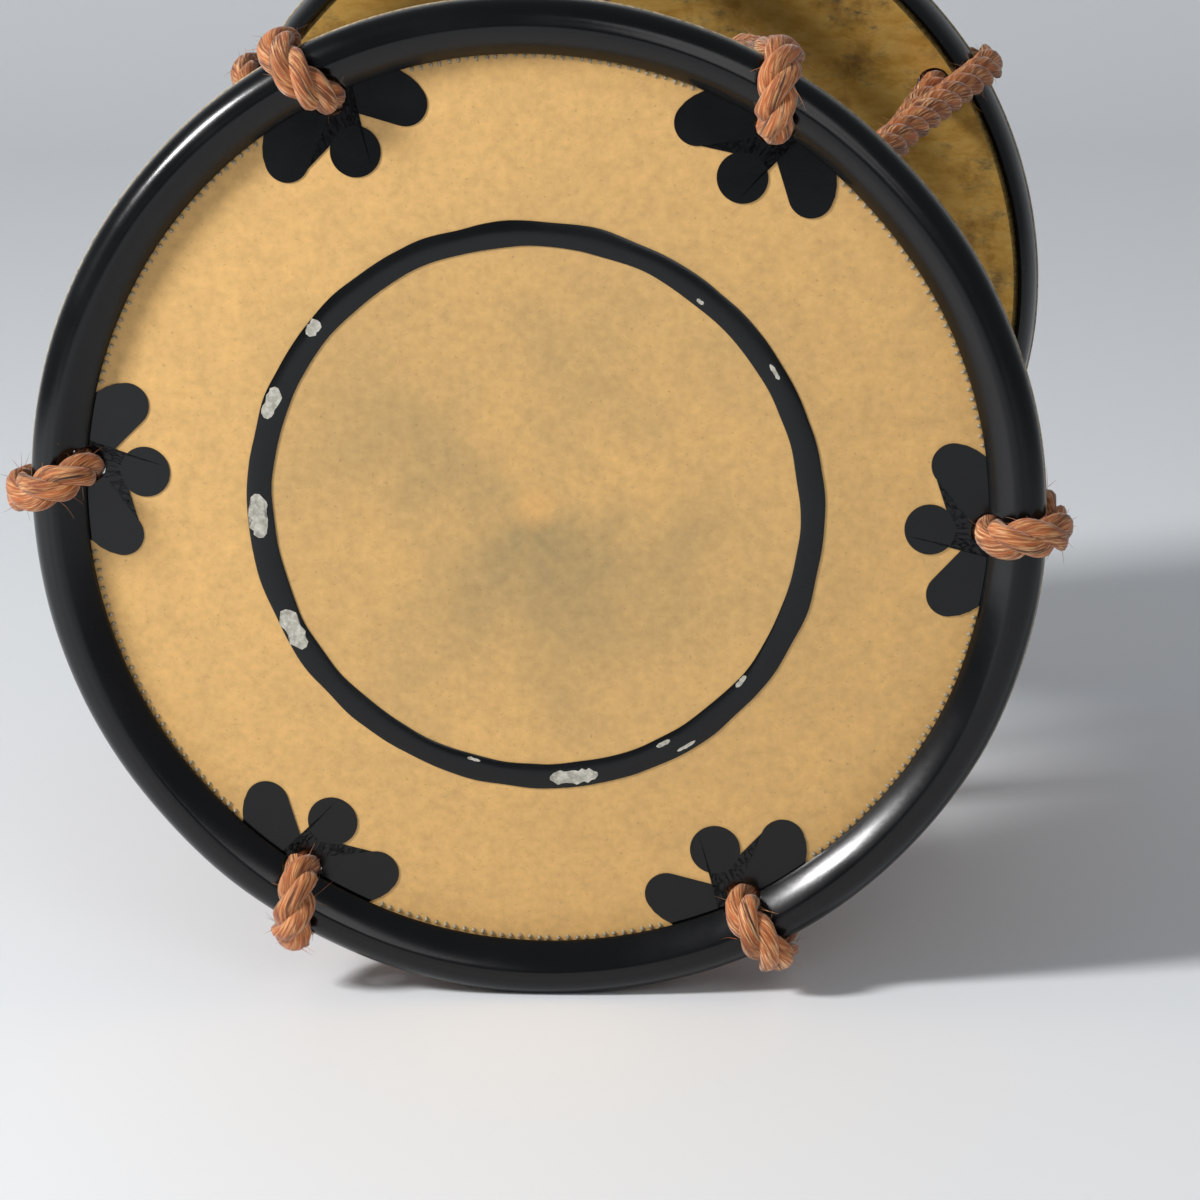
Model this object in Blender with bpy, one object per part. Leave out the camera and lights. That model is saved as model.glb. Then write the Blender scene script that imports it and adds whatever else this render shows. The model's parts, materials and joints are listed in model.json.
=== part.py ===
"""Kotsuzumi: two laced hide heads on iron rings over an hourglass wooden body."""

from math import atan2, cos, degrees, hypot, pi, radians, sin

import bmesh
import bpy
from mathutils import Matrix, Vector

MM = 0.001

# Whole drum
HEAD_SPACING = 252.0          # front skin face to rear skin face, along the drum's axis
HOLE_STEP = 60.0              # six cord holes in each head
FRONT_HOLE_ANGLE = 56.35      # first front hole, counter-clockwise from +X, seen from the front
REAR_HOLE_ANGLE = 32.0        # first rear hole, seen from the front
HOLE_DRIFT = (0.85, -1.0, -1.05, 0.25, -0.45, 0.6)   # the front holes are cut by hand
OVAL_STRETCH = 0.009          # the front ring is slightly out of round
OVAL_ANGLE = 127.9            # direction of its longer diameter
CLEARANCE = 0.3               # air between two pieces that bear on each other

# Head, in section: r from the drum's axis, d from the skin's outer face towards the body
RIM_RADIUS = 100.0
RIM_WIDEST_D = 2.6
CREST_RADIUS = 95.4
CREST_INNER_RADIUS = 94.2
CREST_HEIGHT = 2.6
BAND_RADIUS = 89.0            # inner edge of the black rim, along the stitches
BAND_DEPTH = 1.9
RIM_BACK_RADIUS = 96.2
RIM_BACK_DEPTH = 12.7
RIM_ROLL = 5.1
COVER_WALL = 0.9
HIDE_WALL = 0.7
FLAT_RADIUS = 57.2            # the skin is flat out to the centre ring
HOLE_RADIUS_AT = 89.3         # distance of the cord holes from the axis
HOLE_RADIUS = 4.1
IRON_RADIUS = 1.8
IRON_CENTRE_RADIUS = 96.1
IRON_DEPTH = 3.7
CORE_INNER_RADIUS = 72.0
INNER_HIDE_RADIUS = 58.5      # the gilded hide's edge, outside the body's mouth
RING_INNER_RADIUS = 51.9
RING_OUTER_RADIUS = 56.8
RING_PROUD = 0.45
STITCH_RADIUS = 88.3
STITCH_WIDTH = 0.5
STITCH_HEIGHT = 0.45
STITCH_START = 11.5           # a run starts this many degrees past a hole, outside its petals
STITCH_STEPS = 8

# Petal mark round each hole: x along the rim, y outwards, from the disc's centre
MARK_RADIUS = 77.4
MARK_DISC = 5.0
MARK_PETAL = 4.4
MARK_PETAL_X = 12.95
MARK_PETAL_Y = 4.15
MARK_THICKNESS = 0.3
MARK_OUTER = 88.0
STEM_HALF = 0.7
NECK_Y = 7.1

# Body, in section: distance from the mouth, radius
BODY_OUTSIDE = ((0.0, 50.6), (1.2, 51.5), (16.0, 51.0), (34.0, 48.0), (50.0, 42.4), (63.0, 35.2),
                (75.0, 26.8), (83.0, 24.3), (102.0, 24.2))
CUP_INSIDE = ((0.0, 47.0), (1.6, 45.6), (24.0, 43.0), (44.0, 35.6), (60.0, 24.0))
BORE_RADIUS = 15.0
BORE_DEPTH = 72.0
WAIST_RADIUS = 24.9

# Lacing cord: half sizes of its section, flat where it bears on a rim
CORD_RADIUS = 3.9
CORD_IN_HOLE = 3.55
CORD_FLAT_HALF = 2.55
CORD_WIDE_HALF = 4.1
WAIST_LACE_RADIUS = 60.0      # the waist cord draws the strands in to this radius
PAIR_SPREAD = 4.15            # half the spacing of the two strands of a pair, along the circle
FRONT_LEAN = (6.0, 4.5, 6.0, 5.5, 1.5, 1.5)   # how far each front loop leans along the rim
REAR_LEAN = -3.5
KNOT_LENGTH = 17.0
KNOT_RADIUS = 6.4
WAIST_TURNS = 2
WAIST_KNOT_ANGLE = 62.0
WAIST_KNOT_RISE = 9.0

SEGMENTS = 36
CORD_SIDES = 8
HOLE_SIDES = 10


def clear_scene():
    """Removes what the scene holds before the drum is built."""
    for item in list(bpy.data.objects):
        bpy.data.objects.remove(item, do_unlink=True)


def finish(name, colour, roughness, metallic=0.0):
    """A Principled material in linear colour."""
    material = bpy.data.materials.new(name)
    material.use_nodes = True
    shader = material.node_tree.nodes["Principled BSDF"]
    shader.inputs["Base Color"].default_value = (*colour, 1.0)
    shader.inputs["Roughness"].default_value = roughness
    shader.inputs["Metallic"].default_value = metallic
    return material


def add_object(name, mesh_builder, material, parent, smooth_angle=40.0):
    """Stores a bmesh, in millimetres, as a named object in metres."""
    bmesh.ops.scale(mesh_builder, vec=(MM, MM, MM), verts=mesh_builder.verts)
    bmesh.ops.recalc_face_normals(mesh_builder, faces=mesh_builder.faces)
    mesh = bpy.data.meshes.new(name)
    mesh_builder.to_mesh(mesh)
    mesh_builder.free()
    mesh.materials.append(material)
    mesh.shade_smooth()
    mesh.set_sharp_from_angle(angle=radians(smooth_angle))
    item = bpy.data.objects.new(name, mesh)
    bpy.context.scene.collection.objects.link(item)
    item.parent = parent
    return item


def offset_line(points, distance):
    """Moves an open line sideways, to the right of its own direction, with mitred corners."""
    moved = []
    for index, point in enumerate(points):
        before = points[max(index - 1, 0)]
        after = points[min(index + 1, len(points) - 1)]
        normals = []
        for start, end in ((before, point), (point, after)):
            run = hypot(end[0] - start[0], end[1] - start[1])
            if run > 1e-9:
                normals.append((-(end[1] - start[1]) / run, (end[0] - start[0]) / run))
        across = sum(n[0] for n in normals) / len(normals)
        along = sum(n[1] for n in normals) / len(normals)
        scale = distance / (across ** 2 + along ** 2)
        moved.append((point[0] + across * scale, point[1] + along * scale))
    return moved


def rim_line():
    """The rim's outer line in section, from the stitches over the crest to the back."""
    roll_centre = RIM_RADIUS - RIM_ROLL
    line = [(BAND_RADIUS, BAND_DEPTH), (CREST_INNER_RADIUS, -CREST_HEIGHT), (CREST_RADIUS, -CREST_HEIGHT)]
    for turn in (-55.0, -28.0, 0.0):
        angle = radians(turn)
        line.append((roll_centre + RIM_ROLL * cos(angle), RIM_WIDEST_D + RIM_ROLL * sin(angle)))
    line.append((RIM_RADIUS - 0.8, RIM_WIDEST_D + 5.0))
    line.append((RIM_BACK_RADIUS, RIM_BACK_DEPTH))
    return line


def hide_line():
    """The playing skin's outer line, from the edge of its flat centre to its end under the rim."""
    tucked = offset_line(rim_line(), COVER_WALL + CLEARANCE)
    tucked[-1] = ((tucked[-1][0] + tucked[-2][0]) / 2, (tucked[-1][1] + tucked[-2][1]) / 2)
    return [(FLAT_RADIUS, 0.0)] + tucked


def skin_depth(radius):
    """Depth of the playing skin's outer face between its flat centre and the rim."""
    foot_radius, foot_depth = hide_line()[1]
    return foot_depth * max(0.0, radius - FLAT_RADIUS) / (foot_radius - FLAT_RADIUS)


def inner_hide_line():
    """The inner hide's face towards the core, from its inner edge to the rim."""
    lift = HIDE_WALL + 2 * CLEARANCE
    return [
        (INNER_HIDE_RADIUS, skin_depth(INNER_HIDE_RADIUS) + lift),
        (CORE_INNER_RADIUS - 2.0, skin_depth(CORE_INNER_RADIUS - 2.0) + lift),
        (76.5, 5.4),
        (82.0, 9.3),
        (87.0, 11.2),
        (RIM_BACK_RADIUS - COVER_WALL - 1.1, RIM_BACK_DEPTH - 1.0),
    ]


def turned(profile, closed=True):
    """Spins a profile of (radius, along the axis) about the Y axis into a closed solid."""
    builder = bmesh.new()
    half_step = pi / SEGMENTS
    start = -pi / 2 + half_step
    verts = [builder.verts.new((r * cos(start), y, r * sin(start))) for r, y in profile]
    pairs = list(zip(verts, verts[1:]))
    if closed:
        pairs.append((verts[-1], verts[0]))
    edges = [builder.edges.new(pair) for pair in pairs]
    bmesh.ops.spin(builder, geom=verts + edges, cent=(0, 0, 0), axis=(0, 1, 0), dvec=(0, 0, 0),
                   angle=2 * pi, steps=SEGMENTS, use_merge=True, use_duplicate=False)
    bmesh.ops.remove_doubles(builder, verts=builder.verts, dist=1e-4)
    return builder


def turned_run(profile, start, end, steps):
    """Spins a profile through part of a circle, angles in degrees, with both ends closed."""
    builder = bmesh.new()
    turn = radians(start)
    verts = [builder.verts.new((r * cos(turn), y, r * sin(turn))) for r, y in profile]
    edges = [builder.edges.new(pair) for pair in zip(verts, verts[1:] + verts[:1])]
    spun = bmesh.ops.spin(builder, geom=verts + edges, cent=(0, 0, 0), axis=(0, -1, 0), dvec=(0, 0, 0),
                          angle=radians(end - start), steps=steps, use_merge=False, use_duplicate=False)
    last = [item for item in spun["geom_last"] if isinstance(item, bmesh.types.BMEdge)]
    bmesh.ops.contextual_create(builder, geom=edges)
    bmesh.ops.contextual_create(builder, geom=last)
    return builder


def oval_matrix():
    """The front ring's slight stretch along one diameter and squeeze across it."""
    turn = Matrix.Rotation(-radians(OVAL_ANGLE), 4, "Y")
    stretch = Matrix.Diagonal((1 + OVAL_STRETCH, 1.0, 1 - OVAL_STRETCH, 1.0))
    return turn @ stretch @ turn.inverted()


class Head:
    """One drum head: which way it faces, its hole angles and its oval."""

    def __init__(self, name, rear, holes, leans, parent, finishes):
        self.name = name
        self.rear = rear
        self.holes = holes
        self.leans = leans
        self.parent = parent
        self.finishes = finishes
        self.cutter = None

    def axial(self, depth):
        """Place along the drum's axis of a depth measured from this head's skin face."""
        return HEAD_SPACING - depth if self.rear else depth

    def oval(self):
        """The front head is oval, the rear head is round."""
        return Matrix.Identity(4) if self.rear else oval_matrix()

    def place(self, radius, angle, depth):
        """A point of the head, in the drum's millimetres."""
        turn = radians(angle)
        return self.oval() @ Vector((radius * cos(turn), self.axial(depth), radius * sin(turn)))

    def ring(self, label, profile, finish_name, closed=True, pierced=True):
        """A turned piece of the head, pierced by the six cord holes where they pass it."""
        builder = turned([(r, self.axial(d)) for r, d in profile], closed)
        bmesh.ops.transform(builder, matrix=self.oval(), verts=builder.verts)
        item = add_object(f"{self.name}_{label}", builder, self.finishes[finish_name], self.parent)
        if pierced:
            self.pierce(item)
        return item

    def pierce(self, item):
        """Cuts the cord holes through a piece."""
        cut = item.modifiers.new("cord_holes", "BOOLEAN")
        cut.operation = "DIFFERENCE"
        cut.solver = "EXACT"
        cut.object = self.cutter

    def build_cutter(self):
        """Six straight cylinders along the axis, one at each hole."""
        builder = bmesh.new()
        length = CREST_HEIGHT + RIM_BACK_DEPTH + 10.0
        middle = (RIM_BACK_DEPTH - CREST_HEIGHT) / 2
        for angle in self.holes:
            place = Matrix.Translation(self.place(HOLE_RADIUS_AT, angle, middle))
            bmesh.ops.create_cone(builder, cap_ends=True, segments=HOLE_SIDES, radius1=HOLE_RADIUS,
                                  radius2=HOLE_RADIUS, depth=length,
                                  matrix=place @ Matrix.Rotation(pi / 2, 4, "X"))
        self.cutter = add_object(f"{self.name}_hole_cutter", builder, self.finishes["lacquer"], self.parent)
        self.cutter.hide_render = True
        self.cutter.display_type = "WIRE"

    def build(self):
        """All the head's pieces, from the iron ring outwards."""
        self.build_cutter()
        self.build_iron_ring()
        self.build_core()
        self.build_skin()
        self.build_inner_hide()
        self.build_rim_cover()
        self.build_stitching()
        self.build_centre_ring()
        for number, angle in enumerate(self.holes, 1):
            self.build_mark(number, angle)

    def build_iron_ring(self):
        """The iron ring that the hide is stretched over."""
        sides = [radians(60.0 * k) for k in range(6)]
        profile = [(IRON_CENTRE_RADIUS + IRON_RADIUS * cos(t), IRON_DEPTH + IRON_RADIUS * sin(t)) for t in sides]
        self.ring("iron_ring", profile, "iron", pierced=False)

    def build_core(self):
        """Straw padding between the two hides, with a seat for the iron ring."""
        lift = HIDE_WALL + CLEARANCE
        outer = offset_line(rim_line(), COVER_WALL + HIDE_WALL + 2 * CLEARANCE)
        seat = IRON_RADIUS + CLEARANCE
        groove = [
            (IRON_CENTRE_RADIUS, IRON_DEPTH - seat - 0.1),
            (IRON_CENTRE_RADIUS - seat, IRON_DEPTH - seat * 0.62),
            (IRON_CENTRE_RADIUS - seat, IRON_DEPTH + seat * 0.62),
            (IRON_CENTRE_RADIUS, IRON_DEPTH + seat + 0.1),
        ]
        back = [(r, d - CLEARANCE) for r, d in inner_hide_line()[2:]]
        tip = (CORE_INNER_RADIUS, skin_depth(CORE_INNER_RADIUS) + lift)
        tip_back = (CORE_INNER_RADIUS, tip[1] + 0.5)
        profile = [tip] + outer[:3] + groove + [outer[6]] + back[::-1] + [tip_back]
        self.ring("straw_core", profile, "straw")

    def build_skin(self):
        """The playing skin: flat centre, shallow slope and its turn over the iron ring."""
        outside = hide_line()
        seat = CLEARANCE + 0.05
        front = [
            (0.0, 0.0),
            (RING_INNER_RADIUS - CLEARANCE, 0.0),
            (RING_INNER_RADIUS - CLEARANCE, seat),
            (RING_OUTER_RADIUS + CLEARANCE, seat),
        ]
        inside = offset_line(outside, HIDE_WALL)
        inside[0] = (FLAT_RADIUS, HIDE_WALL)
        back = inside[::-1] + [(0.0, HIDE_WALL)]
        self.ring("skin", front + outside + back, "skin", closed=False)

    def build_inner_hide(self):
        """The gilded hide that closes the padding towards the body."""
        face = inner_hide_line()
        back = [(r, d + HIDE_WALL) for r, d in face]
        self.ring("inner_hide", face + back[::-1], "gold_leaf")

    def build_rim_cover(self):
        """The lacquered hide round the rim."""
        outside = rim_line()
        inside = offset_line(outside, COVER_WALL)
        self.ring("rim_cover", outside + inside[::-1], "lacquer")

    def build_stitching(self):
        """The thread along the inner edge of the rim, one run between each two petal marks."""
        lift = CLEARANCE / 2
        inner = STITCH_RADIUS - STITCH_WIDTH / 2
        outer = STITCH_RADIUS + STITCH_WIDTH / 2
        profile = [
            (inner, skin_depth(inner) - lift),
            (outer, skin_depth(outer) - lift),
            (outer, skin_depth(outer) - lift - STITCH_HEIGHT),
            (inner, skin_depth(inner) - lift - STITCH_HEIGHT),
        ]
        axial = [(r, self.axial(d)) for r, d in profile]
        for number, angle in enumerate(self.holes, 1):
            following = self.holes[number % 6] + (360.0 if number == 6 else 0.0)
            builder = turned_run(axial, angle + STITCH_START, following - STITCH_START, STITCH_STEPS)
            bmesh.ops.transform(builder, matrix=self.oval(), verts=builder.verts)
            add_object(f"{self.name}_stitching_{number}", builder, self.finishes["thread"], self.parent)

    def build_centre_ring(self):
        """The lacquered ring over the body's mouth, seated in the skin."""
        rounding = RING_PROUD / 3
        profile = [
            (RING_INNER_RADIUS, 0.05),
            (RING_OUTER_RADIUS, 0.05),
            (RING_OUTER_RADIUS, -RING_PROUD + rounding),
            ((RING_INNER_RADIUS + RING_OUTER_RADIUS) / 2, -RING_PROUD),
            (RING_INNER_RADIUS, -RING_PROUD + rounding),
        ]
        self.ring("centre_ring", profile, "lacquer", pierced=False)

    def build_mark(self, number, angle):
        """One petal mark: a flat plate with a disc, a stem and two petals round the hole."""
        outline = mark_outline()
        builder = bmesh.new()
        verts = [builder.verts.new((x, 0.0, y)) for x, y in outline]
        builder.faces.new(verts)
        grown = bmesh.ops.extrude_face_region(builder, geom=builder.faces[:])
        raised = {item for item in grown["geom"] if isinstance(item, bmesh.types.BMVert)}
        turn = radians(angle)
        for vert in builder.verts:
            x, y = vert.co.x, vert.co.z
            out = MARK_RADIUS + y
            depth = skin_depth(out) - CLEARANCE / 2
            if vert in raised:
                depth -= MARK_THICKNESS
            vert.co = (out * cos(turn) + x * sin(turn), self.axial(depth), out * sin(turn) - x * cos(turn))
        bmesh.ops.transform(builder, matrix=self.oval(), verts=builder.verts)
        add_object(f"{self.name}_petal_mark_{number}", builder, self.finishes["lacquer"], self.parent)


def arc(centre, radius, start, end, steps):
    """Points on an arc, angles in degrees."""
    angles = [radians(start + (end - start) * k / steps) for k in range(steps + 1)]
    return [(centre[0] + radius * cos(t), centre[1] + radius * sin(t)) for t in angles]


def mark_outline():
    """The petal mark's outline, counter-clockwise, symmetrical about the stem."""
    disc = arc((0.0, 0.0), MARK_DISC, 98.0, 270.0, 6)
    side = [(-STEM_HALF, NECK_Y)]
    petal = arc((-MARK_PETAL_X, MARK_PETAL_Y), MARK_PETAL, 310.0, 165.0, 5)
    half = [(-1.6, NECK_Y + 0.4)] + petal + [(-16.7, 6.5), (-15.6, 8.6)]
    edge = degrees(atan2(15.0, MARK_OUTER))
    notch = degrees(atan2(HOLE_RADIUS, MARK_OUTER))
    rim = arc((0.0, -MARK_RADIUS), MARK_OUTER, 90.0 + edge, 90.0 + notch, 3)
    hole = arc((0.0, HOLE_RADIUS_AT - MARK_RADIUS), HOLE_RADIUS, 200.0, 270.0, 4)
    left = disc[::-1] + side + half + rim + hole
    right = [(-x, y) for x, y in left[1:-1]][::-1]
    return left + right


def build_body(parent, material):
    """The hourglass body: two cups joined by a bored waist."""
    reach = HEAD_SPACING / 2 - HIDE_WALL - CLEARANCE
    outside = [(r, reach - y) for y, r in BODY_OUTSIDE]
    inside = [(r, reach - y) for y, r in CUP_INSIDE] + [(BORE_RADIUS, reach - BORE_DEPTH)]
    front_out = [(r, -y) for r, y in outside]
    front_in = [(r, -y) for r, y in inside]
    profile = front_out + [(WAIST_RADIUS, 0.0)] + outside[::-1] + inside + front_in[::-1]
    builder = turned([(r, y + HEAD_SPACING / 2) for r, y in profile])
    add_object("body", builder, material, parent)


class Lacing:
    """The route of the one cord through both heads, and its two knots."""

    def __init__(self, front, rear, parent, finishes):
        self.front = front
        self.rear = rear
        self.parent = parent
        self.finishes = finishes

    def waist_place(self, number, side, height):
        """Where a strand passes under the waist cord: side -1 arrives at the rear hole, +1 leaves it."""
        angle = radians(self.rear.holes[number % 6])
        out = Vector((cos(angle), 0.0, sin(angle)))
        along = Vector((-sin(angle), 0.0, cos(angle)))
        place = out * WAIST_LACE_RADIUS + along * (side * PAIR_SPREAD)
        return Vector((place.x, HEAD_SPACING / 2 + height, place.z))

    def loop_points(self, head, angle, lean):
        """From inside the head through its hole, over the rim and round its shoulder."""
        gap = CLEARANCE + 0.05
        ride = CORD_FLAT_HALF + gap
        centre = RIM_RADIUS - RIM_ROLL
        around = RIM_ROLL + ride
        path = [
            (HOLE_RADIUS_AT, 15.5, 0.0, 1.0),
            (HOLE_RADIUS_AT, 12.6, 0.0, 1.0),
            (HOLE_RADIUS_AT, 1.6, 0.0, 1.0),
            (HOLE_RADIUS_AT + 0.5, -1.9, 0.05, 0.75),
            (HOLE_RADIUS_AT + 2.2, -4.6, 0.2, 0.3),
            (CREST_INNER_RADIUS + 0.4, -CREST_HEIGHT - ride, 0.45, 0.0),
        ]
        for turn in (-55.0, -22.0, 8.0):
            path.append((centre + around * cos(radians(turn)), RIM_WIDEST_D + around * sin(radians(turn)),
                         min(1.0, 0.8 + 0.2 * (turn + 55.0) / 48.0), 0.0))
        path.append((RIM_RADIUS - 0.8 + ride * 0.97, RIM_WIDEST_D + 5.0, 1.0, 0.0))
        points = []
        for radius, depth, share, roundness in path:
            place = head.place(radius, angle + degrees(lean * share / radius), depth)
            points.append((place, roundness))
        return points

    def stations(self):
        """The whole route: places, with the half sizes of the cord's section along the rim and across."""
        route = []
        for number in range(6):
            for head, lean, side in ((self.front, self.front.leans[number], -1), (self.rear, REAR_LEAN, 1)):
                index = number if head is self.rear else (number - 1) % 6
                lean = head.leans[index]
                for place, roundness in self.loop_points(head, head.holes[index], lean):
                    wide = CORD_WIDE_HALF + (CORD_IN_HOLE - CORD_WIDE_HALF) * roundness
                    thick = CORD_FLAT_HALF + (CORD_IN_HOLE - CORD_FLAT_HALF) * roundness
                    route.append((place, wide, thick))
                for height in (-14.0, 14.0):
                    along = height if head is self.front else -height
                    place = self.waist_place(number, side, along)
                    route.append((place, CORD_RADIUS, CORD_RADIUS))
        return route

    def samples(self):
        """The route with points added in the long straight runs near their ends."""
        route = self.stations()
        dense = []
        for index, station in enumerate(route):
            dense.append(station)
            following = route[(index + 1) % len(route)]
            run = following[0] - station[0]
            if run.length > 40.0:
                for share in (0.09, 0.93):
                    dense.append((station[0] + run * share, CORD_RADIUS, CORD_RADIUS))
        return dense

    def build(self):
        """The cord, opened at one strand for its knot, and the knot itself."""
        dense = self.samples()
        lengths = [(dense[(k + 1) % len(dense)][0] - dense[k][0]).length for k in range(len(dense))]
        longest = sorted(range(len(dense)), key=lambda k: -lengths[k])
        ahead = [k for k in longest[:24] if dense[k][0].y + dense[(k + 1) % len(dense)][0].y < HEAD_SPACING]
        chosen = min(ahead, key=lambda k: dense[k][0].z + dense[(k + 1) % len(dense)][0].z)
        start = dense[chosen][0]
        end = dense[(chosen + 1) % len(dense)][0]
        along = (end - start).normalized()
        middle = (start + end) / 2
        cut = KNOT_LENGTH / 2 + CLEARANCE
        opened = dense[chosen + 1:] + dense[:chosen + 1]
        first = (middle + along * cut, CORD_RADIUS, CORD_RADIUS)
        last = (middle - along * cut, CORD_RADIUS, CORD_RADIUS)
        tube("lacing_cord", [first] + opened + [last], self.finishes["cord"], self.parent)
        knot("lacing_knot", middle, along, self.finishes["cord"], self.parent)


def tube(name, route, material, parent, across=None):
    """A cord of oval section along a route, its wide way round the drum unless a direction is given."""
    builder = bmesh.new()
    rings = []
    for index, (place, wide, thick) in enumerate(route):
        before = route[max(index - 1, 0)][0]
        after = route[min(index + 1, len(route) - 1)][0]
        ahead = (after - before).normalized()
        around = across or Vector((-place.z, 0.0, place.x)).normalized()
        around = (around - ahead * around.dot(ahead)).normalized()
        up = ahead.cross(around)
        ring = []
        for side in range(CORD_SIDES):
            angle = 2 * pi * (side + 0.5) / CORD_SIDES
            offset = around * (wide * cos(angle)) + up * (thick * sin(angle))
            ring.append(builder.verts.new(place + offset))
        rings.append(ring)
    for ring, following in zip(rings, rings[1:]):
        for side in range(CORD_SIDES):
            nearby = (side + 1) % CORD_SIDES
            builder.faces.new((ring[side], ring[nearby], following[nearby], following[side]))
    builder.faces.new(rings[0])
    builder.faces.new(rings[-1])
    return add_object(name, builder, material, parent)


def knot(name, middle, along, material, parent):
    """A tight knot: a short rounded barrel in line with the cord."""
    builder = bmesh.new()
    turn = Vector((0.0, 0.0, 1.0)).rotation_difference(along).to_matrix().to_4x4()
    bmesh.ops.create_cone(builder, cap_ends=True, segments=10, radius1=KNOT_RADIUS, radius2=KNOT_RADIUS,
                          depth=KNOT_LENGTH, matrix=Matrix.Translation(middle) @ turn)
    ends = [edge for edge in builder.edges if len(edge.link_faces) == 2
            and any(len(face.verts) > 4 for face in edge.link_faces)]
    bmesh.ops.bevel(builder, geom=ends, offset=KNOT_RADIUS * 0.35, segments=2, profile=0.5,
                    affect="EDGES", material=-1)
    add_object(name, builder, material, parent)


def build_waist_cord(lacing, parent, material):
    """Two turns round the twelve strands at mid-length, ending in a knot."""
    over = WAIST_LACE_RADIUS + CORD_RADIUS * 2 + CLEARANCE + 0.35
    spread = degrees(PAIR_SPREAD / over)
    corners = []
    for angle in lacing.rear.holes:
        corners.extend((angle - spread - 1.5, angle, angle + spread + 1.5))
    corners = sorted(corner % 360.0 for corner in corners)
    pitch = CORD_RADIUS * 2 + CLEARANCE + 0.2
    first = [c for c in corners if c > WAIST_KNOT_ANGLE] + [c + 360.0 for c in corners if c < WAIST_KNOT_ANGLE]
    angles = [angle + 360.0 * turn for turn in range(WAIST_TURNS) for angle in first]
    route = []

    def place(angle, radius):
        share = (angle - WAIST_KNOT_ANGLE) / 360.0 - WAIST_TURNS / 2
        turn = radians(angle)
        return Vector((radius * cos(turn), HEAD_SPACING / 2 + share * pitch, radius * sin(turn)))

    start = place(WAIST_KNOT_ANGLE, over * 0.93)
    end = place(WAIST_KNOT_ANGLE + 360.0 * WAIST_TURNS, over * 0.93)
    outwards = Vector((cos(radians(WAIST_KNOT_ANGLE)), 0.0, sin(radians(WAIST_KNOT_ANGLE))))
    route.append((start + outwards * WAIST_KNOT_RISE * 0.5, CORD_RADIUS, CORD_RADIUS))
    for angle in angles:
        route.append((place(angle, over), CORD_RADIUS, CORD_RADIUS))
    route.append((end + outwards * WAIST_KNOT_RISE * 0.5, CORD_RADIUS, CORD_RADIUS))
    tube("waist_cord", route, material, parent, Vector((0.0, 1.0, 0.0)))
    middle = (start + end) / 2 + outwards * (WAIST_KNOT_RISE * 0.5 + CORD_RADIUS + KNOT_RADIUS + CLEARANCE)
    knot("waist_knot", middle, Vector((0.0, 1.0, 0.0)), material, parent)


def settle(stand):
    """Tips and lifts the drum until its front rim and its rear loop both meet the floor."""
    bpy.context.view_layer.update()
    graph = bpy.context.evaluated_depsgraph_get()
    points = []
    for item in bpy.data.objects:
        if item.type == "MESH" and not item.hide_render:
            shaped = item.evaluated_get(graph)
            points.extend(shaped.matrix_world @ vert.co for vert in shaped.data.vertices)
    middle = HEAD_SPACING / 2 * MM
    tip = 0.0
    for _ in range(6):
        turn = Matrix.Rotation(tip, 3, "X")
        moved = [turn @ point for point in points]
        front = min((point for point in moved if point.y < middle), key=lambda point: point.z)
        rear = min((point for point in moved if point.y >= middle), key=lambda point: point.z)
        tip += atan2(front.z - rear.z, rear.y - front.y)
    turn = Matrix.Rotation(tip, 3, "X")
    moved = [turn @ point for point in points]
    low = [min(point[axis] for point in moved) for axis in range(3)]
    high = [max(point[axis] for point in moved) for axis in range(3)]
    stand.rotation_euler = (tip, 0.0, 0.0)
    stand.location = (-(low[0] + high[0]) / 2, -(low[1] + high[1]) / 2, -low[2])
    bpy.context.view_layer.update()


def main():
    """Builds the drum and stands it on the floor as it lies in use."""
    clear_scene()
    finishes = {
        "wood": finish("lacquered_wood", (0.012, 0.009, 0.008), 0.25),
        "iron": finish("forged_iron", (0.09, 0.085, 0.08), 0.6, 1.0),
        "straw": finish("straw_padding", (0.45, 0.33, 0.14), 0.95),
        "skin": finish("horse_hide", (0.60, 0.40, 0.17), 0.55),
        "gold_leaf": finish("gold_leaf", (0.42, 0.27, 0.07), 0.45, 0.6),
        "lacquer": finish("black_lacquer", (0.008, 0.008, 0.009), 0.28),
        "thread": finish("hemp_thread", (0.42, 0.36, 0.27), 0.9),
        "cord": finish("hemp_cord", (0.38, 0.12, 0.035), 0.85),
    }
    stand = bpy.data.objects.new("drum_stand", None)
    bpy.context.scene.collection.objects.link(stand)
    front_holes = [FRONT_HOLE_ANGLE + HOLE_STEP * k + HOLE_DRIFT[k] for k in range(6)]
    rear_holes = [REAR_HOLE_ANGLE + HOLE_STEP * k for k in range(6)]
    front = Head("front", False, front_holes, FRONT_LEAN, stand, finishes)
    rear = Head("rear", True, rear_holes, [REAR_LEAN] * 6, stand, finishes)
    front.build()
    rear.build()
    build_body(stand, finishes["wood"])
    lacing = Lacing(front, rear, stand, finishes)
    lacing.build()
    build_waist_cord(lacing, stand, finishes["cord"])
    settle(stand)


main()
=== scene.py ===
"""Dresses the laced hourglass drum: hide heads, lacquered rims, gilded inner hides and hemp lacing."""

import json
import logging
import random
from dataclasses import dataclass, field
from enum import Enum
from math import atan2, cos, degrees, hypot, pi, radians, sin
from typing import Optional, Sequence, Union

import bmesh
import bpy
from mathutils import Matrix, Vector, noise

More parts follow.
